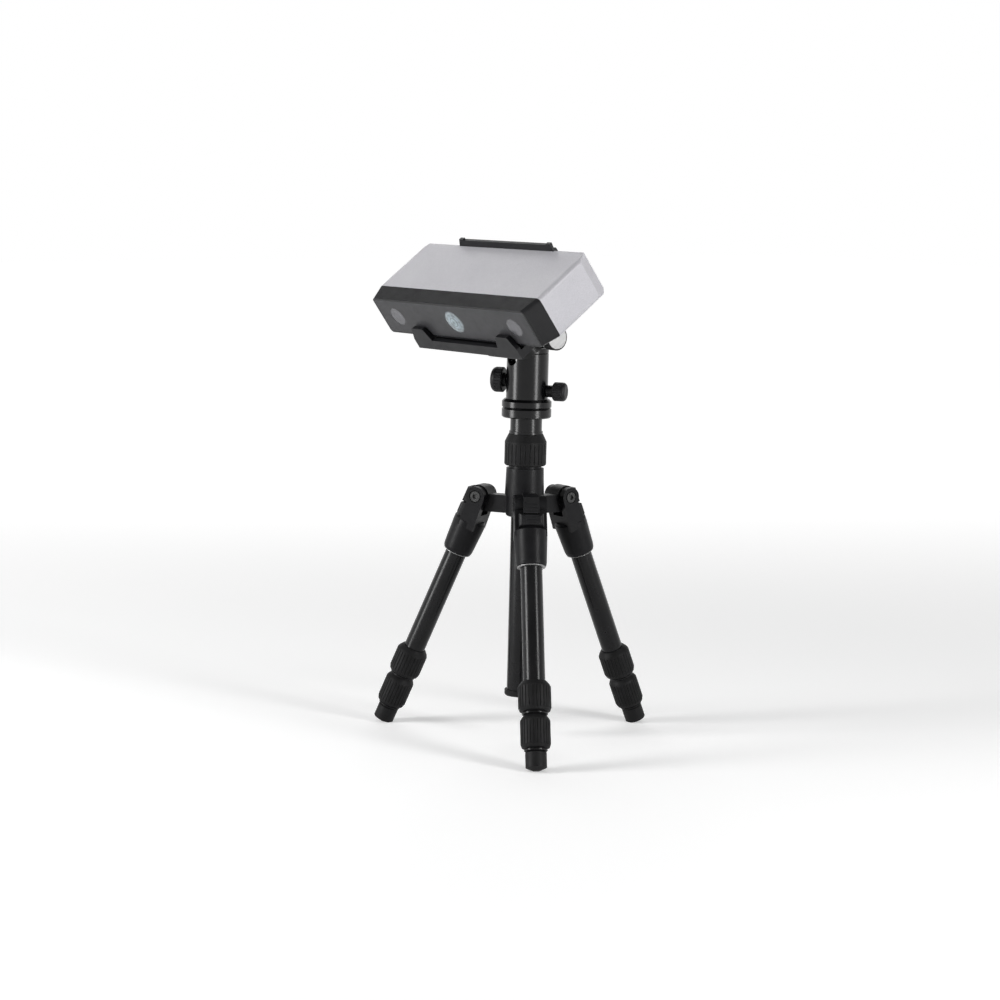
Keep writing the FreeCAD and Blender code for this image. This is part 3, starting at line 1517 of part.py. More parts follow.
def leg_fork(name, frame):
    piece = Piece(f"{name}_leg_fork")
    half = "fork_width / 2"
    disc = circle("0", "0", "fork_radius")
    piece.pad("XZ_Plane", [disc], f"-{half}", half)
    body = [
        ("-fork_radius", "0"),
        ("-fork_foot_half", "-fork_length"),
        ("ear_edge", "-fork_length"),
        ("ear_edge", "0"),
    ]
    piece.pad("XZ_Plane", [body], f"-{half}", half)
    piece.turn(
        [
            ("0", "-sleeve_end"),
            ("sleeve_end_radius - lock_chamfer", "-sleeve_end"),
            ("sleeve_end_radius", "lock_chamfer - sleeve_end"),
            ("sleeve_end_radius + lock_chamfer / 2", "sleeve_round - sleeve_end"),
            ("sleeve_radius", "-fork_length"),
            ("sleeve_radius", "-shoulder_low - shoulder_run"),
            ("sleeve_radius - shoulder_run", "-shoulder_low"),
            ("0", "-shoulder_low"),
        ]
    )
    wide = "(sleeve_radius + overrun)"
    gap = box(f"-{wide}", "-slot_bottom", wide, "fork_radius + overrun")
    piece.cut("XZ_Plane", [gap], f"-{SLOT_HALF}", SLOT_HALF)
    hole = circle("0", "0", "bolt_radius + running_fit")
    piece.cut("XZ_Plane", [hole], f"-{half} - overrun", f"{half} + overrun")
    sink = circle("0", "0", "bolt_sink_radius")
    depth = "(bolt_head_thick + slip_fit)"
    near = piece.cut("XZ_Plane", [sink], f"{half} - {depth}", f"{half} + overrun")
    piece.mirror("XZ_Plane", [near])
    socket = circle("0", "0", "upper_tube_radius + running_fit")
    piece.cut("XY_Plane", [socket], "-sleeve_end - overrun", "slip_fit - tube_start")
    piece.place(frame)


def leg_tab(name, frame):
    """The ribbed tab over the ears, whose nose stops the leg at its working angle."""
    piece = Piece(f"{name}_leg_tab")
    seat = "(ear_edge + slip_fit)"
    block = box(seat, "-tab_block_bottom", "tab_face", "-tab_block_top")
    piece.pad("XZ_Plane", [block], "-tab_block_half", "tab_block_half")
    outer = size("tab_face")
    piece.round_edges("tab_round", lambda at, along: at.x > outer - TINY)
    half = f"({SLOT_HALF} - slip_fit)"
    plate = box("tab_inner", "-tab_block_top", "tab_face", "-tab_top")
    piece.pad("XZ_Plane", [plate], f"-{half}", half)
    nose = box("nose_inner", "-tab_block_top", "tab_inner", "-nose_top")
    piece.pad("XZ_Plane", [nose], f"-{half}", half)
    ribs = []
    for index in range(COUNTS["tab_ribs"]):
        low = f"(-tab_block_bottom + rib_pitch * {index + 1})"
        ribs.append(box("-rib_width / 2", low, "rib_width / 2", f"{low} + rib_thick"))
    piece.pad("YZ_Plane", ribs, "tab_face - slip_fit", "tab_face + rib_height")
    piece.place(frame)


def twist_lock(label, names, fit, frame):
    """A ribbed collar on the end of one tube that grips the thinner tube inside it."""
    start, end, radius = names
    outer_tube, outer_end, inner_tube = fit
    neck = f"({radius} - lock_neck_drop)"
    piece = Piece(label)
    piece.turn(
        [
            (f"{outer_tube} + slip_fit", f"-({start})"),
            (neck, f"-({start})"),
            (f"{radius} - lock_chamfer", f"-({start}) - lock_shoulder_run + lock_chamfer"),
            (radius, f"-({start}) - lock_shoulder_run - lock_chamfer"),
            (radius, f"lock_neck_length + lock_shoulder_run - ({end})"),
            (f"{radius} - lock_chamfer", f"lock_neck_length + lock_chamfer - ({end})"),
            (neck, f"lock_neck_length - ({end})"),
            (neck, f"-({end})"),
            (f"{inner_tube} + slip_fit", f"-({end})"),
            (f"{inner_tube} + slip_fit", f"-{outer_end} - seat_gap"),
            (f"{outer_tube} + slip_fit", f"-{outer_end} - seat_gap"),
        ]
    )
    low = f"-({end}) + lock_neck_length + lock_chamfer"
    high = f"-({start}) - lock_shoulder_run"
    flute = piece.cut("XY_Plane", [circle(radius, "0", "flute_radius")], low, high)
    piece.around(COUNTS["lock_flutes"], [flute])
    piece.place(frame)


def leg_foot(name, frame):
    """The rubber foot, whose blunt cone lies along the floor at the working angle."""
    piece = Piece(f"{name}_foot")
    length = "(hinge_height / cos(leg_angle * 1 deg))"
    slope = "tan(leg_angle * 1 deg)"
    far = f"({length} - foot_tip_radius * {slope} + foot_flat_depth)"
    rim = f"({length} - foot_radius * {slope} + foot_flat_depth)"
    top = "lower_lock_end + lock_gap"
    piece.turn(
        [
            ("0", f"-{far}"),
            ("foot_tip_radius", f"-{far}"),
            ("foot_radius", f"-{rim}"),
            ("foot_radius", f"-({top}) - lock_chamfer"),
            ("foot_radius - lock_chamfer", f"-({top})"),
            ("lower_tube_radius + running_fit", f"-({top})"),
            ("lower_tube_radius + running_fit", "-lower_tube_end - slip_fit"),
            ("0", "-lower_tube_end - slip_fit"),
        ]
    )
    reach = "(foot_radius + overrun)"
    below = [
        (f"-{reach}", f"{reach} * {slope} - {length}"),
        (f"-{reach}", f"-{far} - overrun"),
        (reach, f"-{far} - overrun"),
        (reach, f"-{reach} * {slope} - {length}"),
    ]
    piece.cut("XZ_Plane", [below], f"-{reach}", reach)
    piece.place(frame)


def leg(name, azimuth):
    frame = leg_frame(azimuth)
    leg_fork(name, frame)
    leg_tab(name, frame)
    tubes = (
        ("upper", "-upper_tube_end", "-tube_start"),
        ("middle", "-middle_tube_end", "-middle_tube_start"),
        ("lower", "-lower_tube_end", "-lower_tube_start"),
    )
    for part, low, high in tubes:
        tube(f"{name}_{part}_tube", f"{part}_tube_radius", "tube_wall", low, high, frame)
    locks = (
        ("upper", "upper_lock_start", "middle"),
        ("lower", "upper_lock_end + lock_gap", "lower"),
    )
    for part, start, inner in locks:
        outer = "upper" if part == "upper" else "middle"
        names = (start, f"{part}_lock_end", f"{part}_lock_radius")
        fit = (f"{outer}_tube_radius", f"{outer}_tube_end", f"{inner}_tube_radius")
        twist_lock(f"{name}_{part}_lock", names, fit, frame)
    leg_foot(name, frame)


def build():
    head_shell()
    rear_cover()
    cover_screws()
    front_bezel()
    front_panel()
    camera_windows()
    projector_window()
    camera_modules()
    projector_lens()
    projector_engine()
    optical_bench()
    mainboard()
    power_button()
    dc_jack()
    usb_port()
    cradle_base()
    cradle_jaw()
    cradle_pads()
    cradle_screw()
    quick_release_plate()
    clamp_body()
    clamp_jaw()
    clamp_knob()
    clamp_knob_cap()
    ball_stem()
    ball_housing()
    ball_seat()
    main_knob()
    pan_knob()
    pan_base()
    column_head()
    centre_column()
    column_end_cap()
    column_lock()
    spider()
    hinge_bolts()
    for name, azimuth in zip(LEG_NAMES, LEG_AZIMUTHS):
        leg(name, azimuth)


def check():
    """Stop if any object of the document failed or any piece has no sound shape."""
    doc.recompute()
    for item in doc.Objects:
        if "Invalid" in item.State or "Error" in item.State:
            raise RuntimeError(f"{item.Label} failed: {item.State}")
    for piece in pieces:
        if piece.Shape.isNull() or not piece.Shape.isValid() or not piece.Shape.Solids:
            raise RuntimeError(f"{piece.Label} has no sound shape")


build()
check()
os.makedirs("parts", exist_ok=True)
for piece in pieces:
    piece.Shape.exportStep(f"parts/{piece.Label}.step")
    print(f"{piece.Label}: {len(piece.Shape.Solids)} solid(s), {piece.Shape.Volume:.0f} mm3")
print(len(pieces), "pieces")
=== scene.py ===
import json
import math
import bpy
import bmesh
from mathutils import Euler, Matrix, Vector


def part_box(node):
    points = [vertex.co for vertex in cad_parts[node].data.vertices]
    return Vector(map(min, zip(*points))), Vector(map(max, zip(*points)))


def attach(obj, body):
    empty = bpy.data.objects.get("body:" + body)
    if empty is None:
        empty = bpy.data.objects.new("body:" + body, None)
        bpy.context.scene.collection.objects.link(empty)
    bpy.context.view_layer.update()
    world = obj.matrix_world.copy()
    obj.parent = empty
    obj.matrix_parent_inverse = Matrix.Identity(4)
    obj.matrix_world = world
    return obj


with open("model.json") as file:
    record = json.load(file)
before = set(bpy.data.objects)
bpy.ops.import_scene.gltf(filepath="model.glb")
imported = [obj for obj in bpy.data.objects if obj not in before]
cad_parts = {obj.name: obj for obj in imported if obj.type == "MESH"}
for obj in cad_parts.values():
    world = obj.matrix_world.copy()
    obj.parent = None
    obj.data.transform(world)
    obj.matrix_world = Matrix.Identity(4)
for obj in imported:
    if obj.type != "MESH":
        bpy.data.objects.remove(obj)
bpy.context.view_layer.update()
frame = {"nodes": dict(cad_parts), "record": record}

MM = 0.001

# Where the main parts stand, as in the CAD model.

COLUMN_Y = sum(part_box("centre_column"), Vector()).y / 2
COLUMN = Matrix.Translation((0, COLUMN_Y, 0))
BALL_LEVEL = 385 * MM
TILT = (
    COLUMN
    @ Matrix.Translation((0, 0, BALL_LEVEL))
    @ Matrix.Rotation(math.radians(36.6), 4, "X")
    @ Matrix.Rotation(math.radians(-0.76), 4, "Y")
)
HEAD = TILT @ Matrix.Translation(Vector((-4.5, -27.9, 61.7)) * MM)
LENS_LEVEL = 23.05 * MM
CAMERA_REACH = 97 * MM
CAMERA_WINDOW = 10.2 * MM
PROJECTOR_WINDOW = 13 * MM
LEG_LEAN = math.radians(23.6)
HINGE_RADIUS = 47.5 * MM
HINGE_LEVEL = 245.6 * MM
LEG_TURNS = {"right": -31.3, "rear": 88.7, "left": 208.7}

# For turned pieces, in mm: a lock's neck has its end along the leg and its radius.

LEG_TUBE = 11.0
SLEEVE_END = 64.0
LOCK_NECKS = {"upper": (212, 12.2), "lower": (248, 10.8)}


def leg_frame(leg):
    """Origin at the hinge bolt, -Z down the leg, X outward, Y along the bolt."""
    return (
        COLUMN
        @ Matrix.Rotation(math.radians(LEG_TURNS[leg]), 4, "Z")
        @ Matrix.Translation((HINGE_RADIUS, 0, HINGE_LEVEL))
        @ Matrix.Rotation(-LEG_LEAN, 4, "Y")
    )


# Materials. Each takes its grain, wear and gloss from noise in the object's own space.


class Surface:
    """A node tree with one Principled shader, and helpers that add patterns to it."""

    def __init__(self, name, roughness=0.5, metallic=0.0, **sockets):
        self.material = bpy.data.materials.new(name)
        self.material.use_nodes = True
        self.tree = self.material.node_tree
        self.shader = self.tree.nodes["Principled BSDF"]
        self.shader.inputs["Roughness"].default_value = roughness
        self.shader.inputs["Metallic"].default_value = metallic
        for socket, value in sockets.items():
            self.shader.inputs[socket.replace("_", " ")].default_value = value
        self.place = self.node("ShaderNodeTexCoord").outputs["Object"]

    def node(self, kind, **settings):
        made = self.tree.nodes.new(kind)
        for key, value in settings.items():
            setattr(made, key, value)
        return made

    def link(self, source, target):
        self.tree.links.new(source, target)

    def frame(self, matrix):
        """The object's points in the frame of a part that is turned or moved."""
        turn = self.node("ShaderNodeMapping", vector_type="TEXTURE")
        turn.inputs["Location"].default_value = matrix.to_translation()
        turn.inputs["Rotation"].default_value = matrix.to_euler()
        self.link(self.place, turn.inputs["Vector"])
        return turn.outputs["Vector"]

    def stretch(self, vector, scale):
        mapping = self.node("ShaderNodeMapping")
        mapping.inputs["Scale"].default_value = scale
        self.link(vector, mapping.inputs["Vector"])
        return mapping.outputs["Vector"]

    def noise(self, scale, detail=3.0, rough=0.55, vector=None):
        made = self.node("ShaderNodeTexNoise")
        made.inputs["Scale"].default_value = scale
        made.inputs["Detail"].default_value = detail
        made.inputs["Roughness"].default_value = rough
        self.link(vector or self.place, made.inputs["Vector"])
        return made.outputs["Fac"]

    def ramp(self, value, *stops):
        made = self.node("ShaderNodeValToRGB")
        elements = made.color_ramp.elements
        while len(elements) < len(stops):
            elements.new(0.5)
        for element, (position, colour) in zip(elements, stops):
            element.position = position
            element.color = (*colour, 1) if isinstance(colour, tuple) else (colour, colour, colour, 1)
        self.link(value, made.inputs["Fac"])
        return made.outputs["Color"]

    def spread(self, value, low, high, start=0.35, end=0.65):
        made = self.node("ShaderNodeMapRange")
        for key, number in zip(("From Min", "From Max", "To Min", "To Max"), (start, end, low, high)):
            made.inputs[key].default_value = number
        self.link(value, made.inputs["Value"])
        return made.outputs["Result"]

    def math(self, operation, first, second=None):
        made = self.node("ShaderNodeMath", operation=operation)
        for slot, value in zip(made.inputs, (first, second)):
            if isinstance(value, (int, float)):
                slot.default_value = value
            elif value is not None:
                self.link(value, slot)
        return made.outputs["Value"]

    def mix(self, factor, first, second, blend="MIX"):
        made = self.node("ShaderNodeMix", data_type="RGBA", blend_type=blend)
        for index, value in ((0, factor), (6, first), (7, second)):
            if isinstance(value, tuple):
                made.inputs[index].default_value = (*value, 1)
            elif isinstance(value, (int, float)):
                made.inputs[index].default_value = value
            else:
                self.link(value, made.inputs[index])
        return made.outputs[2]

    def window_reach(self, centre, radius):
        """From 0 at a window's centre to 1 at its rim, on the head's front."""
        split = self.node("ShaderNodeSeparateXYZ")
        self.link(self.frame(HEAD), split.inputs["Vector"])
        across = self.math("SUBTRACT", self.math("ABSOLUTE", split.outputs["X"]), centre)
        up = self.math("SUBTRACT", split.outputs["Z"], LENS_LEVEL)
        squares = self.math("ADD", self.math("POWER", across, 2), self.math("POWER", up, 2))
        return self.spread(self.math("SQRT", squares), 0, 1, 0, radius)

    def colour(self, value):
        self.link(value, self.shader.inputs["Base Color"])

    def roughness(self, value):
        self.link(value, self.shader.inputs["Roughness"])

    def bump(self, height, strength, distance):
        made = self.node("ShaderNodeBump")
        made.inputs["Strength"].default_value = strength
        made.inputs["Distance"].default_value = distance
        self.link(height, made.inputs["Height"])
        before = self.shader.inputs["Normal"]
        if before.is_linked:
            self.link(before.links[0].from_socket, made.inputs["Normal"])
        self.link(made.outputs["Normal"], before)

    def edges(self, bright, amount=0.6, width=0.7 * MM):
        """Wear: the finish turns lighter, in patches, along the edges of the form."""
        rounded = self.node("ShaderNodeBevel", samples=4)
        rounded.inputs["Radius"].default_value = width
        geometry = self.node("ShaderNodeNewGeometry")
        same = self.node("ShaderNodeVectorMath", operation="DOT_PRODUCT")
        self.link(rounded.outputs["Normal"], same.inputs[0])
        self.link(geometry.outputs["Normal"], same.inputs[1])
        worn = self.spread(same.outputs["Value"], amount, 0, 0.8, 0.97)
        patchy = self.math("MULTIPLY", worn, self.spread(self.noise(90, 4), 0.2, 1, 0.4, 0.62))
        base = self.shader.inputs["Base Color"]
        self.colour(self.mix(patchy, base.links[0].from_socket, bright))


def grained(name, dark, light, rough, grain=900, bump=0.15, depth=0.00015, patch=22, **more):
    """A plain finish: slow drift of colour, fine grain, and roughness that varies with both."""
    made = Surface(name, roughness=sum(rough) / 2, **more)
    slow = made.noise(patch, 4)
    fine = made.noise(grain, 2, 0.6)
    blend = made.math("ADD", made.math("MULTIPLY", slow, 0.6), made.math("MULTIPLY", fine, 0.4))
    made.colour(made.ramp(blend, (0.36, dark), (0.64, light)))
    made.roughness(made.spread(made.noise(patch * 2.6, 5, 0.6), *rough))
    made.bump(fine, bump, depth)
    return made


def silver_paint():
    made = Surface(
        "silver_paint", 0.42, 0.08, Specular_IOR_Level=0.28, Coat_Weight=0.05, Coat_Roughness=0.25,
    )
    flake = made.node("ShaderNodeTexVoronoi", feature="F1")
    flake.inputs["Scale"].default_value = 2600
    made.link(made.place, flake.inputs["Vector"])
    sparkle = made.node("ShaderNodeSeparateColor")
    made.link(flake.outputs["Color"], sparkle.inputs["Color"])
    slow = made.noise(9, 3)
    base = made.ramp(slow, (0.35, (0.45, 0.445, 0.475)), (0.65, (0.50, 0.495, 0.52)))
    metal = made.ramp(sparkle.outputs["Red"], (0.0, 0.86), (0.6, 1.0), (1.0, 1.12))
    made.colour(made.mix(1.0, base, metal, "MULTIPLY"))
    made.roughness(made.spread(made.noise(60, 5), 0.38, 0.46))
    made.bump(flake.outputs["Distance"], 0.06, 0.00008)
    return made.material


def gloss_black():
    made = Surface("gloss_black_plastic", 0.2, Specular_IOR_Level=0.17)
    drift = made.noise(14, 3)
    made.colour(made.ramp(drift, (0.35, (0.009, 0.009, 0.010)), (0.65, (0.014, 0.014, 0.015))))
    made.roughness(made.spread(made.noise(120, 6, 0.65), 0.16, 0.27))
    made.bump(made.noise(420, 3), 0.05, 0.0001)
    return made.material


def front_grey():
    made = grained(
        "front_grey_plastic", (0.026, 0.026, 0.028), (0.034, 0.034, 0.037),
        (0.36, 0.46), 1500, 0.2, 0.00006, 30, Specular_IOR_Level=0.25,
    )
    return made.material


def anodised():
    made = Surface("black_anodised", 0.24, Specular_IOR_Level=0.28)
    turned = made.noise(1, 4, 0.6, made.stretch(made.place, (120, 120, 1600)))
    drift = made.noise(35, 4)
    made.colour(made.ramp(drift, (0.35, (0.0012, 0.0012, 0.0014)), (0.65, (0.0026, 0.0026, 0.003))))
    made.roughness(made.spread(turned, 0.2, 0.27))
    made.bump(turned, 0.02, 0.00002)
    made.edges((0.05, 0.05, 0.052))
    return made.material


def lacquer():
    made = Surface("gloss_black_lacquer", 0.2, Specular_IOR_Level=0.2)
    drift = made.noise(28, 4)
    made.colour(made.ramp(drift, (0.35, (0.004, 0.004, 0.0045)), (0.65, (0.0065, 0.0065, 0.007))))
    made.roughness(made.spread(made.noise(70, 6, 0.65), 0.16, 0.28))
    made.bump(made.noise(260, 3), 0.05, 0.00008)
    return made.material


def cast_black():
    made = grained(
        "cast_black_lacquer", (0.004, 0.004, 0.0045), (0.008, 0.008, 0.009),
        (0.34, 0.44), 700, 0.2, 0.00015, 26, Specular_IOR_Level=0.12,
    )
    made.edges((0.06, 0.06, 0.065), 0.5)
    return made.material


def cradle_black():
    made = grained(
        "cradle_black_lacquer", (0.005, 0.005, 0.006), (0.009, 0.009, 0.010),
        (0.30, 0.40), 1100, 0.16, 0.0001, 24, Specular_IOR_Level=0.16,
    )
    made.edges((0.07, 0.07, 0.075), 0.5)
    return made.material


def rubber():
    made = grained(
        "ribbed_rubber", (0.006, 0.006, 0.006), (0.010, 0.010, 0.0105),
        (0.46, 0.6), 1300, 0.3, 0.00018, 45, Specular_IOR_Level=0.12,
    )
    made.edges((0.06, 0.06, 0.062), 0.45)
    return made.material


def knob_plastic():
    made = grained(
        "moulded_knob_plastic", (0.006, 0.006, 0.0065), (0.010, 0.010, 0.011),
        (0.40, 0.52), 1200, 0.22, 0.00012, 40, Specular_IOR_Level=0.18,
    )
    made.edges((0.07, 0.07, 0.073), 0.5)
    return made.material


def brushed_cap():
    made = Surface("brushed_aluminium", 0.4, 0.6)
    local = made.stretch(made.frame(TILT), (1500, 40, 1500))
    brush = made.noise(1, 5, 0.7, local)
    made.colour(made.ramp(brush, (0.3, (0.30, 0.30, 0.30)), (0.7, (0.42, 0.42, 0.42))))
    made.roughness(made.spread(brush, 0.34, 0.5))
    made.bump(brush, 0.15, 0.00006)
    return made.material


def camera_glass():
    made = Surface("smoked_glass", 0.14, IOR=1.5)
    # Painted lens rings: the lens behind the window drawn as rings of grey, with its light and shade
    # painted in, a thin dark ring of painted shade, and painted shade darkening the rim.
    painted_lens_rings = made.ramp(
        made.window_reach(CAMERA_REACH, CAMERA_WINDOW),
        (0.0, (0.086, 0.086, 0.096)), (0.42, (0.094, 0.094, 0.103)), (0.47, (0.072, 0.072, 0.080)),
        (0.52, (0.092, 0.092, 0.100)), (0.9, (0.084, 0.084, 0.091)), (1.0, (0.058, 0.058, 0.062)),
    )
    cloud = made.ramp(made.noise(160, 4), (0.35, 0.92), (0.65, 1.06))
    made.colour(made.mix(1.0, painted_lens_rings, cloud, "MULTIPLY"))
    made.roughness(made.spread(made.noise(300, 3), 0.1, 0.2))
    return made.material


def projector_glass():
    made = Surface("coated_glass", 0.1, IOR=1.5)
    # Painted lens rings: the lens elements behind the window drawn as rings. The light rings are
    # painted highlights; the dark rings and the rim are painted shade.
    painted_lens_rings = made.ramp(
        made.window_reach(0, PROJECTOR_WINDOW),
        (0.0, (0.18, 0.22, 0.24)), (0.30, (0.25, 0.31, 0.33)), (0.38, (0.13, 0.16, 0.18)),
        (0.46, (0.24, 0.29, 0.32)), (0.72, (0.17, 0.21, 0.23)), (0.80, (0.24, 0.28, 0.30)),
        (0.92, (0.14, 0.16, 0.17)), (1.0, (0.06, 0.075, 0.085)),
    )
    # Painted glints: lighter and darker blotches over the rings, standing in for highlights inside the
    # lens.
    painted_glints = made.ramp(made.noise(210, 2, 0.4), (0.40, 0.72), (0.60, 1.18))
    made.colour(made.mix(0.8, painted_lens_rings, painted_glints, "MULTIPLY"))
    made.roughness(made.spread(made.noise(300, 3), 0.08, 0.16))
    return made.material


def circuit_board():
    made = Surface("circuit_board", 0.4)
    tracks = made.node("ShaderNodeTexBrick")
    tracks.inputs["Scale"].default_value = 320
    tracks.inputs["Mortar Size"].default_value = 0.06
    tracks.inputs["Color1"].default_value = (0.016, 0.10, 0.05, 1)
    tracks.inputs["Color2"].default_value = (0.024, 0.13, 0.07, 1)
    tracks.inputs["Mortar"].default_value = (0.05, 0.20, 0.11, 1)
    made.link(made.frame(HEAD), tracks.inputs["Vector"])
    made.colour(tracks.outputs["Color"])
    made.roughness(made.spread(made.noise(80, 4), 0.34, 0.5))
    return made.material


def milled():
    made = Surface("milled_aluminium", 0.4, 1.0)
    brush = made.noise(1, 4, 0.6, made.stretch(made.frame(HEAD), (60, 900, 900)))
    made.colour(made.ramp(brush, (0.3, 0.42), (0.7, 0.58)))
    made.roughness(made.spread(brush, 0.32, 0.5))
    made.bump(brush, 0.1, 0.00005)
    return made.material


def steel(name, dark, light, rough, grain):
    made = Surface(name, sum(rough) / 2, 1.0)
    fine = made.noise(grain, 4, 0.6)
    made.colour(made.ramp(fine, (0.35, dark), (0.65, light)))
    made.roughness(made.spread(made.noise(grain / 3, 4), *rough))
    made.bump(fine, 0.04, 0.00005)
    return made.material


def plain(name, dark, light, rough, **more):
    return grained(name, dark, light, rough, **more).material


FINISH = {
    "silver_shell": silver_paint(),
    "gloss_black": gloss_black(),
    "front_grey": front_grey(),
    "camera_glass": camera_glass(),
    "projector_glass": projector_glass(),
    "board_green": circuit_board(),
    "inner_black": plain("matt_black_plastic", (0.01, 0.01, 0.01), (0.019, 0.019, 0.019), (0.5, 0.65)),
    "bench_metal": milled(),
    "black_anodised": anodised(),
    "cradle_black": cradle_black(),
    "rubber_black": rubber(),
    "knob_silver": brushed_cap(),
    "ball_steel": steel("polished_steel", 0.55, 0.68, (0.08, 0.18), 240),
    "screw_steel": steel("black_steel", 0.03, 0.06, (0.3, 0.45), 800),
    "nylon_white": plain("natural_nylon", (0.62, 0.62, 0.58), (0.74, 0.74, 0.70), (0.4, 0.5)),
    "knob_plastic": knob_plastic(),
    "lacquer_black": lacquer(),
    "cast_black": cast_black(),
    "socket_black": plain("socket_plastic", (0.008, 0.008, 0.008), (0.014, 0.014, 0.014), (0.35, 0.5)),
}

for part in frame["record"]["subparts"]:
    mesh = frame["nodes"][part["node"]].data
    mesh.materials.clear()
    mesh.materials.append(FINISH[part["material_slot"]])

# Turned pieces that the solids leave out.


def lathe(name, body, slot, place, profile, start=0, sweep=360, steps=96):
    """A closed (radius, height) profile in mm, turned about the place's Z axis through an arc."""
    shape = bmesh.new()
    whole = sweep == 360
    rows = []
    for step in range(steps if whole else steps + 1):
        angle = math.radians(start + sweep * step / steps)
        rows.append([
            shape.verts.new(place @ (Vector((r * math.cos(angle), r * math.sin(angle), z)) * MM))
            for r, z in profile
        ])
    pairs = list(zip(rows, rows[1:] + rows[:1])) if whole else list(zip(rows, rows[1:]))
    for row, following in pairs:
        for k in range(len(profile)):
            after = (k + 1) % len(profile)
            shape.faces.new((row[k], following[k], following[after], row[after]))
    if not whole:
        shape.faces.new(reversed(rows[0]))
        shape.faces.new(rows[-1])
    bmesh.ops.recalc_face_normals(shape, faces=shape.faces)
    mesh = bpy.data.meshes.new(name)
    shape.to_mesh(mesh)
    shape.free()
    mesh.shade_smooth()
    mesh.set_sharp_from_angle(angle=math.radians(32))
    mesh.materials.append(FINISH[slot])
    piece = bpy.data.objects.new(name, mesh)
    bpy.context.scene.collection.objects.link(piece)
    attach(piece, body)


for leg in LEG_TURNS:
    lathe(
        f"{leg}_sleeve_ring", f"{leg}_leg", "knob_silver", leg_frame(leg),
        [
            (LEG_TUBE, -SLEEVE_END), (13.9, -SLEEVE_END), (14.2, -SLEEVE_END - 0.15),
            (14.2, -SLEEVE_END - 0.4), (13.9, -SLEEVE_END - 0.55), (LEG_TUBE, -SLEEVE_END - 0.55),
        ],
    )
    for lock, (end, radius) in LOCK_NECKS.items():
        lathe(
            f"{leg}_{lock}_neck_ring", f"{leg}_{lock}_collar", "lacquer_black", leg_frame(leg),
            [
                (radius - 1, 0.15 - end), (radius + 0.3, 0.15 - end), (radius + 0.7, 0.5 - end),
                (radius + 0.7, 1.5 - end), (radius + 0.3, 2.0 - end), (radius - 1, 2.0 - end),
            ],
        )
lathe(
    "housing_rim", "ball_head", "black_anodised", COLUMN,
    [(18.4, 393.4), (20.9, 393.4), (20.95, 397.6), (20.5, 398.2), (18.9, 398.2), (18.4, 397.7)],
    start=-20, sweep=220, steps=60,
)

# The room: a pale floor, a white surround and three soft lamps.


def seen_directly(tree):
    """One for rays from the camera, and for those seen in metal and glass; else nothing."""
    path = tree.nodes.new("ShaderNodeLightPath")
    value = path.outputs["Is Camera Ray"]
    for ray in ("Is Glossy Ray", "Is Transmission Ray"):
        larger = tree.nodes.new("ShaderNodeMath")
        larger.operation = "MAXIMUM"
        tree.links.new(value, larger.inputs[0])
        tree.links.new(path.outputs[ray], larger.inputs[1])
        value = larger.outputs["Value"]
    return value


FLOOR_HALF = 9
FLOOR_WHITE = 0.84
FLOOR_LIFT = (0.5, 3.0, 0.3, 0.88)  # from this distance in m to that one, from this glow to that one
WALL_HEIGHTS = (0.2, 0.55)
FILL = 0.16
CEILING = 0.35
CAMERA_AZIMUTH = -38.1
CAMERA_LENS = 97.733
CAMERA_PLACE = (2.13549, COLUMN_Y - 1.67625, 0.6035)
CAMERA_TURN = (82.4405, -1.3802, 52.5688)

# Azimuth from the camera's side and elevation in degrees, distance, width and height in m, watts.
LAMPS = {
    "lamp_left": (-71, 10, 1.7, 0.5, 1.4, 30),
    "lamp_right": (52, 10, 1.8, 0.4, 1.4, 25),
    "lamp_top": (0, 68, 2.0, 1.4, 1.4, 3),
    "lamp_rear": (185, 35, 2.2, 1.6, 1.2, 11),
}


def make_floor():
    half = FLOOR_HALF
    mesh = bpy.data.meshes.new("floor")
    corners = [(-half, -half, 0), (half, -half, 0), (half, half, 0), (-half, half, 0)]
    mesh.from_pydata(corners, [], [(0, 1, 2, 3)])
    floor = bpy.data.objects.new("floor", mesh)
    bpy.context.scene.collection.objects.link(floor)
    paint = bpy.data.materials.new("floor_paint")
    paint.use_nodes = True
    tree = paint.node_tree
    tree.nodes.clear()
    body = tree.nodes.new("ShaderNodeBsdfDiffuse")
    body.inputs["Color"].default_value = (FLOOR_WHITE, FLOOR_WHITE, FLOOR_WHITE, 1)
    lift = tree.nodes.new("ShaderNodeEmission")
    scale = tree.nodes.new("ShaderNodeMath")
    scale.operation = "MULTIPLY"
    tree.links.new(seen_directly(tree), scale.inputs[0])
    place = tree.nodes.new("ShaderNodeTexCoord")
    reach = tree.nodes.new("ShaderNodeVectorMath")
    reach.operation = "LENGTH"
    tree.links.new(place.outputs["Object"], reach.inputs[0])
    rise = tree.nodes.new("ShaderNodeMapRange")
    rise.interpolation_type = "SMOOTHSTEP"
    for key, number in zip(("From Min", "From Max", "To Min", "To Max"), FLOOR_LIFT):
        rise.inputs[key].default_value = number
    tree.links.new(reach.outputs["Value"], rise.inputs["Value"])
    tree.links.new(rise.outputs["Result"], scale.inputs[1])
    tree.links.new(scale.outputs["Value"], lift.inputs["Strength"])
    both = tree.nodes.new("ShaderNodeAddShader")
    tree.links.new(body.outputs["BSDF"], both.inputs[0])
    tree.links.new(lift.outputs["Emission"], both.inputs[1])
    out = tree.nodes.new("ShaderNodeOutputMaterial")
    tree.links.new(both.outputs["Shader"], out.inputs["Surface"])
    mesh.materials.append(paint)


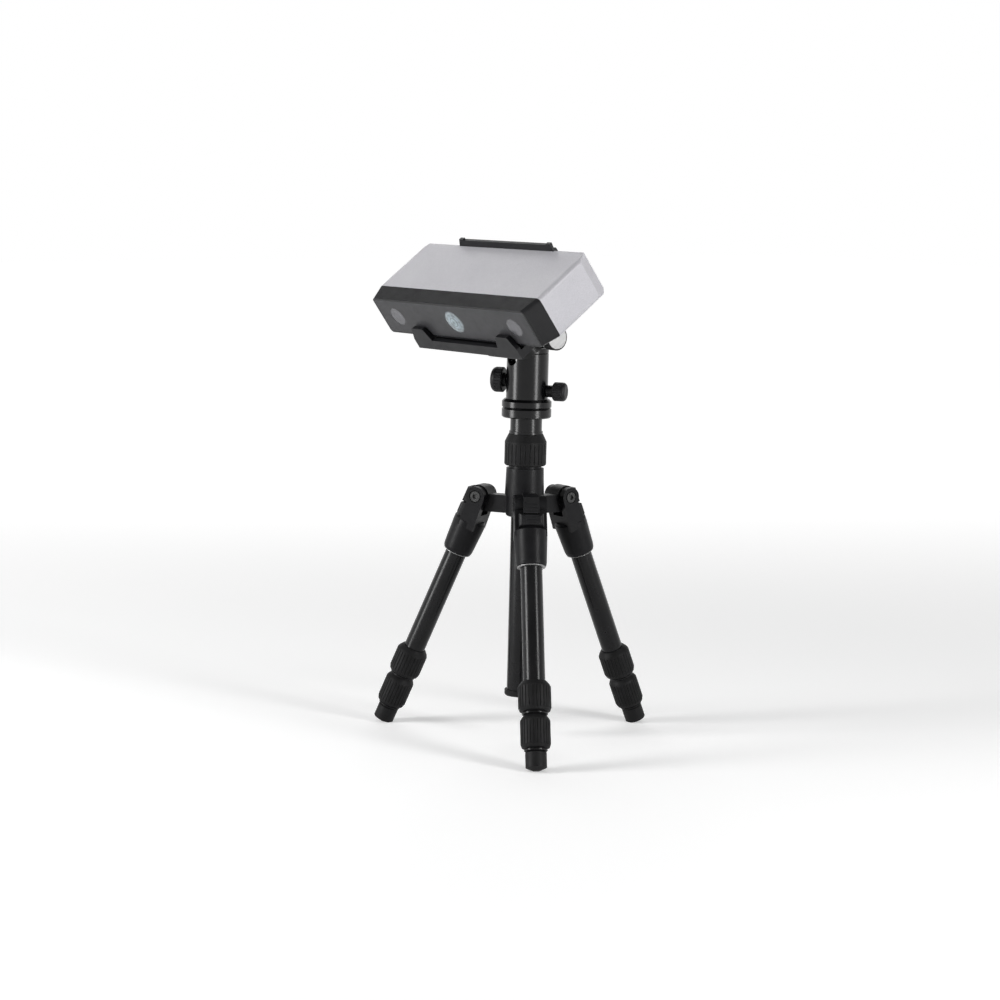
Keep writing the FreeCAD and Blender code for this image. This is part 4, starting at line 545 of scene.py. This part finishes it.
def make_world(level, ceiling):
    """White walls that darken to a ceiling, for what is seen, and an even level of light."""
    world = bpy.data.worlds.new("studio")
    bpy.context.scene.world = world
    world.use_nodes = True
    tree = world.node_tree
    back = tree.nodes["Background"]
    back.inputs["Color"].default_value = (1, 1, 1, 1)
    split = tree.nodes.new("ShaderNodeSeparateXYZ")
    place = tree.nodes.new("ShaderNodeTexCoord")
    tree.links.new(place.outputs["Generated"], split.inputs["Vector"])
    walls = tree.nodes.new("ShaderNodeMapRange")
    walls.interpolation_type = "SMOOTHSTEP"
    for key, number in zip(("From Min", "From Max", "To Min", "To Max"), (*WALL_HEIGHTS, 1.0, ceiling)):
        walls.inputs[key].default_value = number
    tree.links.new(split.outputs["Z"], walls.inputs["Value"])
    blend = tree.nodes.new("ShaderNodeMapRange")
    blend.inputs["To Min"].default_value = level
    tree.links.new(seen_directly(tree), blend.inputs["Value"])
    tree.links.new(walls.outputs["Result"], blend.inputs["To Max"])
    tree.links.new(blend.outputs["Result"], back.inputs["Strength"])


def make_lamp(name, azimuth, elevation, distance, width, height, power, aim=(0, COLUMN_Y, 0.3)):
    """A soft rectangular lamp that faces the object."""
    turn = math.radians(azimuth + CAMERA_AZIMUTH)
    rise = math.radians(elevation)
    away = Vector((math.cos(turn) * math.cos(rise), math.sin(turn) * math.cos(rise), math.sin(rise)))
    light = bpy.data.lights.new(name, "AREA")
    light.shape = "RECTANGLE"
    light.size = width
    light.size_y = height
    light.energy = power
    lamp = bpy.data.objects.new(name, light)
    bpy.context.scene.collection.objects.link(lamp)
    lamp.location = Vector(aim) + away * distance
    lamp.rotation_euler = away.to_track_quat("Z", "Y").to_euler()


def make_camera():
    lens = bpy.data.cameras.new("camera")
    lens.sensor_width = 36
    lens.lens = CAMERA_LENS
    camera = bpy.data.objects.new("camera", lens)
    bpy.context.scene.collection.objects.link(camera)
    camera.location = CAMERA_PLACE
    camera.rotation_euler = Euler([math.radians(a) for a in CAMERA_TURN])
    bpy.context.scene.camera = camera


make_floor()
make_world(FILL, CEILING)
for name, settings in LAMPS.items():
    make_lamp(name, *settings)
make_camera()
bpy.context.scene.view_settings.view_transform = "Standard"
